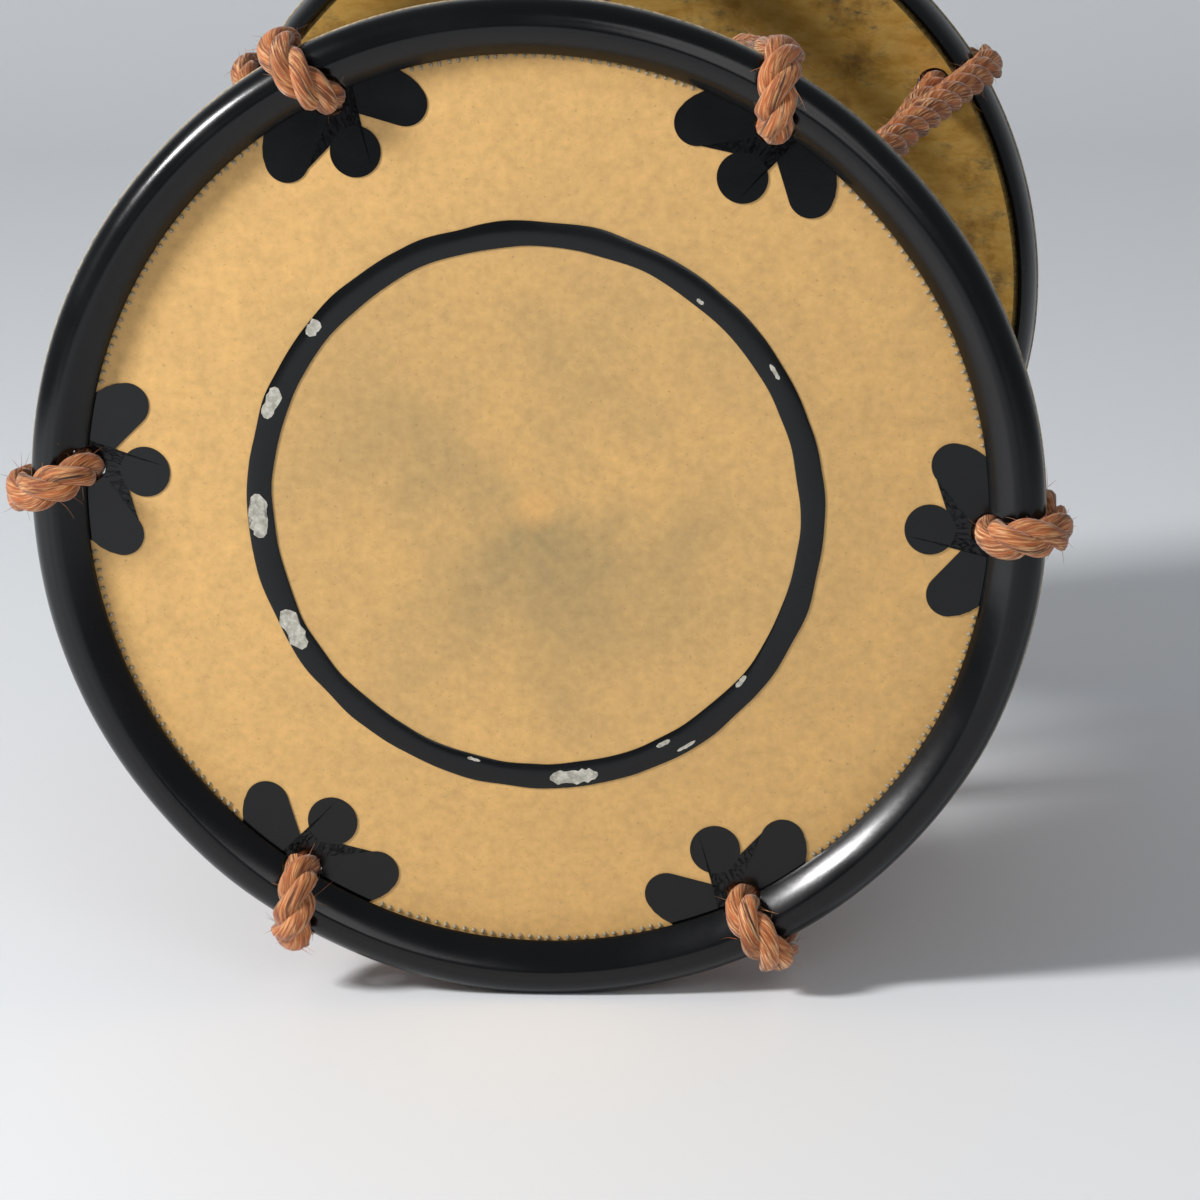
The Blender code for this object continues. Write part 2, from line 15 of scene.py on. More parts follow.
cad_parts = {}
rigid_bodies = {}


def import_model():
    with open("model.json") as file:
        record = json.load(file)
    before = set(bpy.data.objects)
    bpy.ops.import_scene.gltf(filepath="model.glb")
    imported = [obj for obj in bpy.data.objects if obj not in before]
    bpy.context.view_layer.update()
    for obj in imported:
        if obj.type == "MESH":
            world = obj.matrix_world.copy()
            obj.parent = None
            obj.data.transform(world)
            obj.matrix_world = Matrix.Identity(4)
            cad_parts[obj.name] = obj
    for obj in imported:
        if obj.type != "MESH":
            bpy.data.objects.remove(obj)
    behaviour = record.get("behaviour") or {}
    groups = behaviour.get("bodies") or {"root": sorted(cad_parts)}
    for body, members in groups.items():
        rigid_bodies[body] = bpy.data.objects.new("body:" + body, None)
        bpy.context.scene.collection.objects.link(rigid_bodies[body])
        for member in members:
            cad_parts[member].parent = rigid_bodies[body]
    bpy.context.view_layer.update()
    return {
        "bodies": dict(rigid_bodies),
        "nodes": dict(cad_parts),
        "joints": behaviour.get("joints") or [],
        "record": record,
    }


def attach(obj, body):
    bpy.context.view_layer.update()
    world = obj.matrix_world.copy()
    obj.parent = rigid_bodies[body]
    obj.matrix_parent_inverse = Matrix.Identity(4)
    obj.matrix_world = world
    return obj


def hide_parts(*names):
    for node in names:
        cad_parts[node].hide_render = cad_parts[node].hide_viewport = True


LOG = logging.getLogger("tsuzumi")
MM = 0.001
PER_METRE = 1.0 / MM          # millimetres in one unit of object coordinates
HOLE_COUNT = 6
HOLE_STEP = 60.0
FULL_TURN = 360.0
FRONT_HOLE_ANGLE = 56.35      # first front hole, seen from the front
REAR_HOLE_ANGLE = 32.0        # first rear hole, seen from the front
HOLE_DRIFT = (0.85, -1.0, -1.05, 0.25, -0.45, 0.6)   # the front holes are cut by hand
FRONT_OVAL = 0.009            # the front ring is slightly out of round
AXIS = Vector((0.0, 1.0, 0.0))

Point = tuple[float, float]
Triple = tuple[float, float, float]
Quad = tuple[float, float, float, float]
Mesh = bmesh.types.BMesh
Socket = bpy.types.NodeSocket
Value = Union[float, Socket]
Frame = tuple[Vector, Vector, Vector]


class Side(Enum):
    """The two heads of the drum."""

    FRONT = "front"
    REAR = "rear"


# Materials

def linear_rgb(code: str) -> Quad:
    """Turns an sRGB hex colour to linear values.

    Args:
        code: Colour as #RRGGBB.

    Returns:
        Linear red, green and blue, and full opacity.
    """
    values = [int(code[start:start + 2], 16) / 255.0 for start in (1, 3, 5)]
    red, green, blue = (v / 12.92 if v <= 0.04045 else ((v + 0.055) / 1.055) ** 2.4 for v in values)
    return (red, green, blue, 1.0)


class Recipe:
    """A node material in the making."""

    def __init__(self, name: str) -> None:
        """Starts from an empty Principled material.

        Args:
            name: The material's name.
        """
        self.material = bpy.data.materials.new(name)
        self.material.use_nodes = True
        self.tree = self.material.node_tree
        self.shader = self.tree.nodes["Principled BSDF"]

    def feed(self, socket: Socket, value) -> None:
        """Links an input or sets its value.

        Args:
            socket: The input.
            value: An output socket, a number, a colour or a vector.
        """
        if isinstance(value, Socket):
            self.tree.links.new(value, socket)
        else:
            socket.default_value = value

    def finish(self, values: dict) -> bpy.types.Material:
        """Sets the shader's inputs.

        Args:
            values: Values or output sockets by input name.

        Returns:
            The finished material.
        """
        for name, value in values.items():
            self.feed(self.shader.inputs[name], value)
        return self.material

    def node(self, kind: str, inputs: dict, output: Union[int, str] = 0, **settings) -> Socket:
        """Adds a node.

        Args:
            kind: The node's Blender type name.
            inputs: Values or output sockets for its inputs, by name or index.
            output: Which output is wanted.
            **settings: Properties set on the node itself.

        Returns:
            The wanted output.
        """
        made = self.tree.nodes.new(kind)
        for name, value in settings.items():
            setattr(made, name, value)
        for key, value in inputs.items():
            self.feed(made.inputs[key], value)
        return made.outputs[output]

    def place(self) -> Socket:
        """Object coordinates, in metres."""
        return self.node("ShaderNodeTexCoord", {}, "Object")

    def chart(self, name: str) -> Socket:
        """One of the meshes' own maps, in millimetres."""
        return self.node("ShaderNodeUVMap", {}, uv_map=name)

    def blend(self, factor: Value, first, second) -> Socket:
        """Mixes two colours, each a socket or a hex code, by the amount of the second."""
        colours = [linear_rgb(c) if isinstance(c, str) else c for c in (first, second)]
        inputs = {0: factor, 6: colours[0], 7: colours[1]}
        return self.node("ShaderNodeMix", inputs, 2, data_type="RGBA", blend_type="MIX")

    def product(self, first: Value, second: Value, clamp: bool = True) -> Socket:
        """Multiplies two values."""
        return self.node("ShaderNodeMath", {0: first, 1: second}, operation="MULTIPLY", use_clamp=clamp)

    def total(self, first: Value, second: Value) -> Socket:
        """Adds two values."""
        return self.node("ShaderNodeMath", {0: first, 1: second}, operation="ADD")

    def noise(self, vector: Socket, size_mm: float, detail: float, rough: float, unit: float = 1.0) -> Socket:
        """Adds noise.

        Args:
            vector: The coordinates.
            size_mm: Size of the largest features.
            detail: Octaves.
            rough: Strength of the finer octaves.
            unit: Millimetres in one unit of the coordinates.

        Returns:
            The noise's value.
        """
        inputs = {"Vector": vector, "Scale": unit / size_mm, "Detail": detail, "Roughness": rough}
        return self.node("ShaderNodeTexNoise", inputs)

    def spread(self, value: Value, low: float, high: float, to_low: float = 0.0, to_high: float = 1.0) -> Socket:
        """Maps a value from one range to another, clamped."""
        return self.node("ShaderNodeMapRange", {0: value, 1: low, 2: high, 3: to_low, 4: to_high}, clamp=True)

    def drawn(self, vector: Socket, stretch: Sequence[float], turn: float = 0.0) -> Socket:
        """Stretches coordinates to draw a pattern out, turned by an angle in radians."""
        inputs = {"Vector": vector, "Scale": stretch, "Rotation": (0.0, 0.0, turn)}
        return self.node("ShaderNodeMapping", inputs)

    def bump(self, height: Value, depth_mm: float, strength: float) -> Socket:
        """Normals raised by a height pattern, depth in millimetres."""
        inputs = {"Height": height, "Distance": depth_mm * MM, "Strength": strength}
        return self.node("ShaderNodeBump", inputs)


@dataclass(frozen=True)
class HorseHide:
    """Scraped, stretched horse hide: matt, honey tan, cloudy, with pores, a soiled middle and painted shade
    towards the rim.
    """

    honey: str = "#CFA568"
    amber: str = "#DBAE6C"
    olive: str = "#98855C"
    # painted shade on the hide next to the rim
    painted_rim_shade: str = "#B48A4C"
    pore: str = "#66492A"
    spot: str = "#E0AC68"
    handled_radii: Point = (72.0, 8.0)
    rim_shade_radii: Point = (82.0, 90.0)
    spot_radii: Point = (5.5, 1.5)

    def build(self) -> bpy.types.Material:
        """Makes the material, on the head's own plane coordinates in mm.

        Returns:
            The hide material.
        """
        recipe = Recipe("horse_hide")
        plane = recipe.chart("plane")
        radius = recipe.node("ShaderNodeVectorMath", {0: plane}, "Value", operation="LENGTH")
        cloud = recipe.noise(plane, 42.0, 5.0, 0.6)
        mottle = recipe.noise(plane, 7.0, 6.0, 0.68)
        shading = recipe.noise(plane, 2.2, 3.0, 0.6)
        grain = recipe.noise(plane, 0.9, 4.0, 0.7)
        base = recipe.blend(recipe.spread(mottle, 0.36, 0.64), self.honey, self.amber)
        handled = recipe.product(recipe.spread(radius, *self.handled_radii), recipe.spread(cloud, 0.38, 0.6))
        soiled = recipe.product(handled, recipe.spread(mottle, 0.25, 0.6, 0.55, 1.0))
        base = recipe.blend(recipe.product(soiled, 0.85, False), base, self.olive)
        # painted shade, darker towards the rim
        base = recipe.blend(recipe.spread(radius, *self.rim_shade_radii, 0.0, 0.35), base, self.painted_rim_shade)
        base = recipe.blend(recipe.spread(radius, *self.spot_radii, 0.0, 0.65), base, self.spot)
        base = recipe.blend(recipe.spread(grain, 0.4, 0.28, 0.0, 0.42), base, self.pore)
        shade = recipe.spread(shading, 0.3, 0.7, 0.88, 1.06)
        return recipe.finish({
            "Base Color": recipe.node("ShaderNodeHueSaturation", {"Color": base, "Value": shade}),
            "Roughness": recipe.spread(mottle, 0.3, 0.7, 0.5, 0.66),
            "Specular IOR Level": 0.35,
            "Normal": recipe.bump(recipe.total(grain, mottle), 0.05, 0.6),
        })


@dataclass(frozen=True)
class Urushi:
    """Black urushi lacquer on hide: deep, glossy, a little uneven, with dust and rubbed grey places."""

    name: str = "urushi"
    black: str = "#030405"
    hazed: str = "#08090B"
    rubbed: str = "#26282B"
    dusty: str = "#85888A"
    gloss: float = 0.14
    matt: float = 0.3

    def build(self) -> bpy.types.Material:
        """Makes the lacquer.

        Returns:
            The lacquer material.
        """
        recipe = Recipe(self.name)
        place = recipe.place()
        haze = recipe.noise(place, 26.0, 4.0, 0.6, PER_METRE)
        dust = recipe.noise(place, 0.7, 2.0, 0.5, PER_METRE)
        rub = recipe.noise(place, 9.0, 8.0, 0.75, PER_METRE)
        colour = recipe.blend(recipe.spread(haze, 0.35, 0.75, 0.0, 0.35), self.black, self.hazed)
        colour = recipe.blend(recipe.spread(rub, 0.71, 0.76, 0.0, 0.5), colour, self.rubbed)
        colour = recipe.blend(recipe.spread(dust, 0.8, 0.86, 0.0, 0.6), colour, self.dusty)
        return recipe.finish({
            "Base Color": colour,
            "Roughness": recipe.spread(haze, 0.3, 0.7, self.gloss, self.matt),
            "Specular IOR Level": 0.3,
            "Coat Weight": 0.12,
            "Coat Roughness": 0.12,
            "Normal": recipe.bump(recipe.total(haze, rub), 0.12, 0.35),
        })


@dataclass(frozen=True)
class GoldLeaf:
    """Gold leaf laid on hide: dull gold, with brown worn patches and dark rubbed fibres."""

    gold: str = "#B98C3C"
    pale: str = "#D6AE5E"
    brown: str = "#5A3E1C"
    dark: str = "#1E1710"
    fibre_stretch: Triple = (0.6, 1.5, 1.0)
    fibre_turn: float = 0.5

    def build(self) -> bpy.types.Material:
        """Makes the worn gilding.

        Returns:
            The gold leaf material.
        """
        recipe = Recipe("worn_gold_leaf")
        plane = recipe.chart("plane")
        drawn = recipe.drawn(plane, self.fibre_stretch, self.fibre_turn)
        cloud = recipe.noise(plane, 16.0, 6.0, 0.65)
        fibre = recipe.noise(drawn, 5.0, 6.0, 0.7)
        colour = recipe.blend(recipe.spread(fibre, 0.35, 0.65), self.gold, self.pale)
        colour = recipe.blend(recipe.spread(cloud, 0.5, 0.66, 0.0, 0.75), colour, self.brown)
        worn = recipe.product(recipe.spread(fibre, 0.52, 0.68), recipe.spread(cloud, 0.42, 0.6))
        return recipe.finish({
            "Base Color": recipe.blend(worn, colour, self.dark),
            "Metallic": recipe.spread(worn, 0.0, 1.0, 0.65, 0.05),
            "Roughness": recipe.spread(cloud, 0.3, 0.7, 0.38, 0.6),
            "Normal": recipe.bump(fibre, 0.15, 0.6),
        })


@dataclass(frozen=True)
class HempCord:
    """Laid hemp dyed rust orange: painted shade in its hollows, painted highlights on its fibres, bleached
    rubbed patches, fine strands along the lay.
    """

    rust: str = "#B4602B"
    # painted highlight on the cord's raised fibres
    pale: str = "#E8AC70"
    # painted shade: dark colour for the cord's hollows
    deep: str = "#3E1608"
    bleached: str = "#F4D0A4"
    lay_stretch: Triple = (1.0, 0.1, 1.0)

    def build(self) -> bpy.types.Material:
        """Makes the cord's material, on its own along-and-around map in mm.

        Returns:
            The cord material.
        """
        recipe = Recipe("dyed_hemp")
        lay = recipe.chart("lay")
        drawn = recipe.drawn(lay, self.lay_stretch)
        strands = recipe.noise(drawn, 0.42, 3.0, 0.6)
        tufts = recipe.noise(drawn, 1.5, 3.0, 0.6)
        patches = recipe.noise(lay, 9.0, 3.0, 0.6)
        # painted shade in the hollows between the tufts, where the bump is low
        colour = recipe.blend(recipe.spread(tufts, 0.34, 0.62), self.deep, self.rust)
        # painted highlight on the raised strands
        colour = recipe.blend(recipe.spread(strands, 0.44, 0.72, 0.0, 0.85), colour, self.pale)
        rubbed = recipe.product(recipe.spread(strands, 0.5, 0.62), recipe.spread(patches, 0.5, 0.66))
        return recipe.finish({
            "Base Color": recipe.blend(recipe.product(rubbed, 0.55, False), colour, self.bleached),
            "Roughness": 0.72,
            "Sheen Weight": 0.35,
            "Sheen Roughness": 0.4,
            "Normal": recipe.bump(recipe.total(strands, tufts), 0.35, 0.9),
        })


@dataclass(frozen=True)
class PlainFinish:
    """A simple natural finish with two tones and a grain size in mm."""

    name: str
    light: str
    dark: str
    roughness: float
    grain_mm: float
    metallic: float = 0.0
    stretch: Triple = (1.0, 1.0, 1.0)

    def build(self) -> bpy.types.Material:
        """Makes the material on object coordinates.

        Returns:
            The material.
        """
        recipe = Recipe(self.name)
        drawn = recipe.drawn(recipe.place(), self.stretch)
        grain = recipe.noise(drawn, self.grain_mm, 5.0, 0.65, PER_METRE)
        roughest = min(1.0, self.roughness * 1.15)
        return recipe.finish({
            "Base Color": recipe.blend(recipe.spread(grain, 0.35, 0.65), self.dark, self.light),
            "Roughness": recipe.spread(grain, 0.3, 0.7, self.roughness * 0.85, roughest),
            "Metallic": self.metallic,
            "Normal": recipe.bump(grain, 0.1, 0.5),
        })


class Finishes:
    """One material for each finish."""

    def __init__(self) -> None:
        """Makes all materials once."""
        along_grain = (1.0, 0.2, 1.0)
        along_wood = (1.0, 0.12, 1.0)
        self.hide = HorseHide().build()
        self.lacquer = Urushi().build()
        self.gold = GoldLeaf().build()
        self.cord = HempCord().build()
        self.thread = PlainFinish("hemp_thread", "#B5A98F", "#6E6450", 0.85, 0.4).build()
        self.chip = PlainFinish("bare_ground_coat", "#C9C5BA", "#8E8A7E", 0.8, 1.2).build()
        self.edge = PlainFinish("raw_hide_edge", "#B9A98C", "#75664C", 0.7, 0.8).build()
        self.iron = PlainFinish("forged_iron", "#4A4541", "#2A2624", 0.6, 1.5, 1.0).build()
        self.straw = PlainFinish("rice_straw", "#C2A463", "#7E6430", 0.9, 0.8, 0.0, along_grain).build()
        self.wood = PlainFinish("zelkova", "#8A5A30", "#57361B", 0.55, 1.6, 0.0, along_wood).build()
        self.body = Urushi("body_urushi", black="#0C0A0A", gloss=0.14, matt=0.26).build()


# Mesh helpers

def arc(centre: Point, radius: float, start: float, end: float, steps: int) -> list[Point]:
    """Points on an arc, angles in degrees."""
    angles = [radians(start + (end - start) * k / steps) for k in range(steps + 1)]
    return [(centre[0] + radius * cos(t), centre[1] + radius * sin(t)) for t in angles]


def ring_point(radius: float, angle: float, along: float = 0.0) -> Vector:
    """A point round the drum's axis, angle in degrees."""
    turn = radians(angle)
    return Vector((radius * cos(turn), along, radius * sin(turn)))


def around_index(items: Sequence, index: int) -> list:
    """The items before, at and after an index that a smooth curve needs, ends repeated."""
    return [items[max(0, min(len(items) - 1, index + k))] for k in (-1, 0, 1, 2)]


def offset_line(points: Sequence[Point], distance: float) -> list[Point]:
    """Moves an open line sideways with mitred corners.

    Args:
        points: The line.
        distance: How far to its left it moves.

    Returns:
        The moved line.
    """
    moved = []
    for index, point in enumerate(points):
        before = points[max(index - 1, 0)]
        after = points[min(index + 1, len(points) - 1)]
        normals = []
        for start, end in ((before, point), (point, after)):
            run = hypot(end[0] - start[0], end[1] - start[1])
            if run > 0.0:
                normals.append((-(end[1] - start[1]) / run, (end[0] - start[0]) / run))
        across = sum(n[0] for n in normals) / len(normals)
        along = sum(n[1] for n in normals) / len(normals)
        scale = distance / (across ** 2 + along ** 2)
        moved.append((point[0] + across * scale, point[1] + along * scale))
    return moved


def spun(profile: Sequence[Point], closed: bool, steps: int) -> Mesh:
    """Spins a profile of (radius, along the axis) about the drum's axis.

    Args:
        profile: The section's points.
        closed: True for a section that doesn't touch the axis.
        steps: Segments round the axis.

    Returns:
        The turned mesh in mm.
    """
    builder = bmesh.new()
    verts = [builder.verts.new((r, y, 0.0)) for r, y in profile]
    pairs = list(zip(verts, verts[1:])) + ([(verts[-1], verts[0])] if closed else [])
    edges = [builder.edges.new(pair) for pair in pairs]
    bmesh.ops.spin(builder, geom=verts + edges, cent=(0, 0, 0), axis=AXIS, dvec=(0, 0, 0), angle=2 * pi,
                   steps=steps, use_merge=True, use_duplicate=False)
    bmesh.ops.remove_doubles(builder, verts=builder.verts, dist=1e-4)
    return builder


def thickened(builder: Mesh) -> list[bmesh.types.BMVert]:
    """Doubles flat faces into a closed plate of no thickness yet.

    Args:
        builder: The mesh.

    Returns:
        The vertices of the new side.
    """
    grown = bmesh.ops.extrude_face_region(builder, geom=builder.faces[:])
    return [item for item in grown["geom"] if isinstance(item, bmesh.types.BMVert)]


def map_plane(builder: Mesh) -> None:
    """Gives a mesh its own plane coordinates, millimetres across the head."""
    layer = builder.loops.layers.uv.new("plane")
    for face in builder.faces:
        for loop in face.loops:
            loop[layer].uv = (loop.vert.co.x, loop.vert.co.z)


def add_tube(builder: Mesh, rings: Sequence[Sequence[bmesh.types.BMVert]]) -> list:
    """Skins a row of rings and closes its ends.

    Args:
        builder: The mesh that the rings are in.
        rings: Rings with the same number of vertices.

    Returns:
        Each side face with its ring's index and its place in the ring.
    """
    made = []
    sides = len(rings[0])
    for index, (ring, following) in enumerate(zip(rings, rings[1:])):
        for side in range(sides):
            nearby = (side + 1) % sides
            face = builder.faces.new((ring[side], ring[nearby], following[nearby], following[side]))
            made.append((face, index, side))
    builder.faces.new(rings[0])
    builder.faces.new(rings[-1])
    return made


@dataclass
class Workshop:
    """Places finished meshes in the drum's resting attitude and registers them with the frame."""

    place: Matrix
    pieces: int = 0

    def settled(self, name: str, builder: Mesh) -> bpy.types.Object:
        """Turns a mesh in mm into an object in the resting drum.

        Args:
            name: The object's name.
            builder: Its mesh in the drum's own millimetres.

        Returns:
            The new object, linked to the scene.
        """
        bmesh.ops.transform(builder, matrix=self.place @ Matrix.Scale(MM, 4), verts=builder.verts)
        mesh = bpy.data.meshes.new(name)
        builder.to_mesh(mesh)
        builder.free()
        item = bpy.data.objects.new(name, mesh)
        bpy.context.scene.collection.objects.link(item)
        return item

    def store(self, name: str, builder: Mesh, material: bpy.types.Material, slot: str,
              replaced: Sequence[str] = (), smooth: float = 40.0) -> bpy.types.Object:
        """Stores a mesh in mm as a piece of the drum.

        Args:
            name: The piece's name.
            builder: Its mesh in the drum's own millimetres.
            material: Its material.
            slot: The record's material slot; not used.
            replaced: CAD nodes that it stands for.
            smooth: Edges sharper than this many degrees stay sharp.

        Returns:
            The new object.
        """
        bmesh.ops.recalc_face_normals(builder, faces=builder.faces)
        item = self.settled(name, builder)
        item.data.materials.append(material)
        item.data.shade_smooth()
        item.data.set_sharp_from_angle(angle=radians(smooth))
        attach(item, "root")
        if replaced:
            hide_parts(*replaced)
        self.pieces += 1
        LOG.info("%s: %d faces", name, len(item.data.polygons))
        return item


# The heads

@dataclass
class HeadSizes:
    """Sizes of a head in section, in mm, as the frame has them."""

    rim: float = 100.0
    widest_depth: float = 2.6
    crest: float = 95.4
    crest_inner: float = 94.2
    crest_height: float = 2.6
    band: float = 89.0
    band_depth: float = 1.9
    back: float = 96.2
    back_depth: float = 12.7
    roll: float = 5.1
    shoulder: float = 5.0
    cover: float = 0.9
    hide: float = 0.7
    flat: float = 57.2
    gap: float = 0.3
    hole_at: float = 89.3
    hole: float = 4.1
    ring_inner: float = 51.9
    ring_outer: float = 56.8
    mark_at: float = 77.4

    def rim_line(self, fine: int = 14) -> list[Point]:
        """The rim's outer line in section, rounded."""
        centre = (self.rim - self.roll, self.widest_depth)
        shoulder = self.widest_depth + self.shoulder
        line = [(self.band, self.band_depth), (self.band + 0.5, self.band_depth - 0.75)]
        line.append((self.band + 2.6, self.band_depth - 2.5))
        line.append((self.crest_inner - 0.5, -self.crest_height + 0.25))
        line += [(self.crest_inner + 0.3, -self.crest_height - 0.02), (self.crest, -self.crest_height)]
        line += arc(centre, self.roll, -80.0, 0.0, fine)
        line += [(self.rim - 0.25, shoulder - 2.4), (self.rim - 0.8, shoulder)]
        line.append((self.rim - 1.7, shoulder + 2.2))
        line += [(self.back + 0.9, self.back_depth - 0.9), (self.back, self.back_depth - 0.1)]
        return line

    def hide_foot(self) -> Point:
        """Where the playing skin turns up under the rim."""
        face = [(self.band, self.band_depth), (self.crest_inner, -self.crest_height)]
        return offset_line(face, self.cover + self.gap)[0]

    def skin_depth(self, radius: float) -> float:
        """Depth of the playing skin's outer face at a radius."""
        foot = self.hide_foot()
        return foot[1] * max(0.0, radius - self.flat) / (foot[0] - self.flat)


@dataclass(frozen=True)
class Chip:
    """A place where the centre ring's lacquer has flaked: angle in degrees, length and two radii in mm."""

    angle: float
    length: float
    low: float
    high: float

    def outline(self, draw: random.Random) -> list[Point]:
        """The chip's ragged edge.

        Args:
            draw: Source of the raggedness.

        Returns:
            Its points as radius and angle.
        """
        count = max(7, int(self.length / 0.7))
        middle = (self.low + self.high) / 2
        upper = []
        lower = []
        for k in range(count + 1):
            share = -1.0 + 2.0 * k / count
            reach = (self.high - self.low) / 2 * max(0.3, 1.0 - abs(share) ** 7)
            along = self.angle + degrees(share * self.length / 2 / middle)
            upper.append((middle + reach + draw.uniform(-0.35, 0.1) * reach, along))
            lower.append((middle - reach + draw.uniform(-0.1, 0.35) * reach, along))
        return upper + lower[::-1]


RING_CHIPS = (
    Chip(140.0, 3.6, 54.0, 56.8),
    Chip(158.0, 6.6, 53.8, 56.9),
    Chip(182.0, 8.8, 52.9, 56.6),
    Chip(207.0, 8.6, 52.6, 56.7),
    Chip(276.5, 9.6, 53.2, 56.2),
    Chip(30.0, 3.4, 54.4, 55.4),
    Chip(51.0, 1.6, 52.6, 53.4),
    Chip(255.0, 2.6, 52.4, 53.1),
    Chip(297.0, 3.0, 52.6, 53.6),
    Chip(301.0, 4.2, 55.4, 56.1),
    Chip(319.0, 3.0, 52.2, 53.2),
)


@dataclass
class Head:
    """One drum head with its hide, rim, marks and stitches."""

    side: Side
    holes: Sequence[float]
    spacing: float
    shop: Workshop
    finishes: Finishes
    sizes: HeadSizes = field(default_factory=HeadSizes)
    stretch: float = 0.0
    stretch_angle: float = 127.9
    chips: Sequence[Chip] = ()
    steps: int = 240
    ring_steps: int = 300
    hole_steps: int = 40
    rim_ripple: Triple = (0.35, 26.0, 7.0)
    hide_ripple: Triple = (0.2, 14.0, 3.0)
    mark_edge: float = 89.6
    mark_thickness: float = 0.32
    mark_facet: float = 2.6
    stitch_pitch: float = 1.85
    stitch_start: float = 11.2
    stitch_half: Triple = (0.62, 0.34, 0.42)
    stitch_seed: int = 5
    chip_seed: int = 11
    chip_depth: float = -0.56
    chip_thickness: float = 0.3
    cutter_depth: float = 5.0
    cutter_length: float = 34.0
    cut_smooth: float = 42.0

    def axial(self, depth: float) -> float:
        """Place along the drum's axis of a depth from this head's skin face."""
        return self.spacing - depth if self.side is Side.REAR else depth

    def oval(self) -> Matrix:
        """The ring's slight stretch along one diameter and squeeze across it."""
        turn = Matrix.Rotation(-radians(self.stretch_angle), 4, "Y")
        return turn @ Matrix.Diagonal((1 + self.stretch, 1.0, 1 - self.stretch, 1.0)) @ turn.inverted()

    def spot(self, radius: float, angle: float, depth: float) -> Vector:
        """A point of the head in the drum's mm."""
        return self.oval() @ ring_point(radius, angle, self.axial(depth))

    def name(self, label: str) -> str:
        """A piece's name on this head."""
        return f"{self.side.value}_{label}"

    def turned(self, profile: Sequence[Point], closed: bool = True, ripple: Optional[Triple] = None) -> Mesh:
        """Turns a section and gives it the head's oval and a slow hand-made unevenness.

        Args:
            profile: Its points as radius and depth.
            closed: True for a section that doesn't touch the axis.
            ripple: Height and length of the unevenness in mm, and a shift of its pattern.

        Returns:
            The mesh in mm.
        """
        builder = spun([(r, self.axial(d)) for r, d in profile], closed, self.steps)
        bmesh.ops.transform(builder, matrix=self.oval(), verts=builder.verts)
        if ripple:
            height, length, shift = ripple
            for vert in builder.verts:
                wave = noise.noise(vert.co / length + Vector((shift, shift, shift)))
                radial = Vector((vert.co.x, 0.0, vert.co.z)).normalized()
                vert.co += radial * (wave * height * 0.6) + AXIS * (wave * height * 0.4)
        return builder

    def pierce(self, item: bpy.types.Object, radius: float) -> None:
        """Cuts the cord holes through a piece and applies the cut.

        Args:
            item: The piece.
            radius: The holes' radius in mm.
        """
        builder = bmesh.new()
        upright = Matrix.Rotation(pi / 2, 4, "X")
        for angle in self.holes:
            place = Matrix.Translation(self.spot(self.sizes.hole_at, angle, self.cutter_depth)) @ upright
            bmesh.ops.create_cone(builder, cap_ends=True, segments=self.hole_steps, radius1=radius,
                                  radius2=radius, depth=self.cutter_length, matrix=place)
        cutter = self.shop.settled("holes", builder)
        cut = item.modifiers.new("holes", "BOOLEAN")
        cut.operation = "DIFFERENCE"
        cut.solver = "EXACT"
        cut.object = cutter
        bpy.context.view_layer.update()
        graph = bpy.context.evaluated_depsgraph_get()
        made = bpy.data.meshes.new_from_object(item.evaluated_get(graph))
        item.modifiers.clear()
        item.data = made
        made.shade_smooth()
        made.set_sharp_from_angle(angle=radians(self.cut_smooth))
        bpy.data.objects.remove(cutter, do_unlink=True)

    def build(self) -> None:
        """Builds all that shows on the head."""
        self.build_skin()
        self.build_rim()
        self.build_rim_edge()
        self.build_inner_hide()
        self.build_centre_ring()
        if self.chips:
            self.build_chips()
        for number, angle in enumerate(self.holes, 1):
            self.build_mark(number, angle)
        self.build_stitches()

    def build_skin(self) -> None:
        """The playing skin, flat in the middle and sloping to the stitches."""
        size = self.sizes
        foot = size.hide_foot()
        reach = foot[0] + 1.6
        radii = [0.0] + [2.0 + 3.3 * k for k in range(15)]
        radii += [size.ring_inner, size.flat, size.flat + 1.5] + [size.flat + 4.0 * k for k in range(1, 8)]
        radii += [reach - 2.6, foot[0]]
        front = [(r, size.skin_depth(r)) for r in sorted(set(radii)) if r < foot[0] + 1e-6]
        edge = [(reach, foot[1] - 1.2), (reach + 0.2, foot[1] + 0.3), (foot[0], foot[1] + size.hide)]
        builder = self.turned(front + edge + [(size.flat, size.hide), (0.0, size.hide)], False)
        map_plane(builder)
        item = self.shop.store(self.name("hide_face"), builder, self.finishes.hide, "hide",
                               [self.name("skin")])
        self.pierce(item, size.hole - 0.1)

    def build_rim(self) -> None:
        """The lacquered hide over the iron ring."""
        size = self.sizes
        inside = [(size.back - 0.8, size.back_depth - 1.0), (size.rim - 2.4, 7.3), (size.rim - 1.6, 2.6)]
        inside += [(size.crest + 0.6, -1.2), (size.band + 0.55, size.band_depth + 0.68)]
        builder = self.turned(size.rim_line() + inside, ripple=self.rim_ripple)
        item = self.shop.store(self.name("lacquered_rim"), builder, self.finishes.lacquer, "lacquer",
                               [self.name("rim_cover")], 50.0)
        self.pierce(item, size.hole - 0.1)

    def build_rim_edge(self) -> None:
        """The pale raw edge of the hide that shows as a thin line round the widest part."""
        rim = self.sizes.rim
        at = self.sizes.widest_depth + 0.6
        profile = [(rim - 0.5, at - 0.35), (rim + 0.02, at - 0.3), (rim + 0.22, at), (rim + 0.02, at + 0.3),
                   (rim - 0.5, at + 0.35)]
        builder = self.turned(profile, ripple=self.rim_ripple)
        self.shop.store(self.name("raw_edge"), builder, self.finishes.edge, "hide")

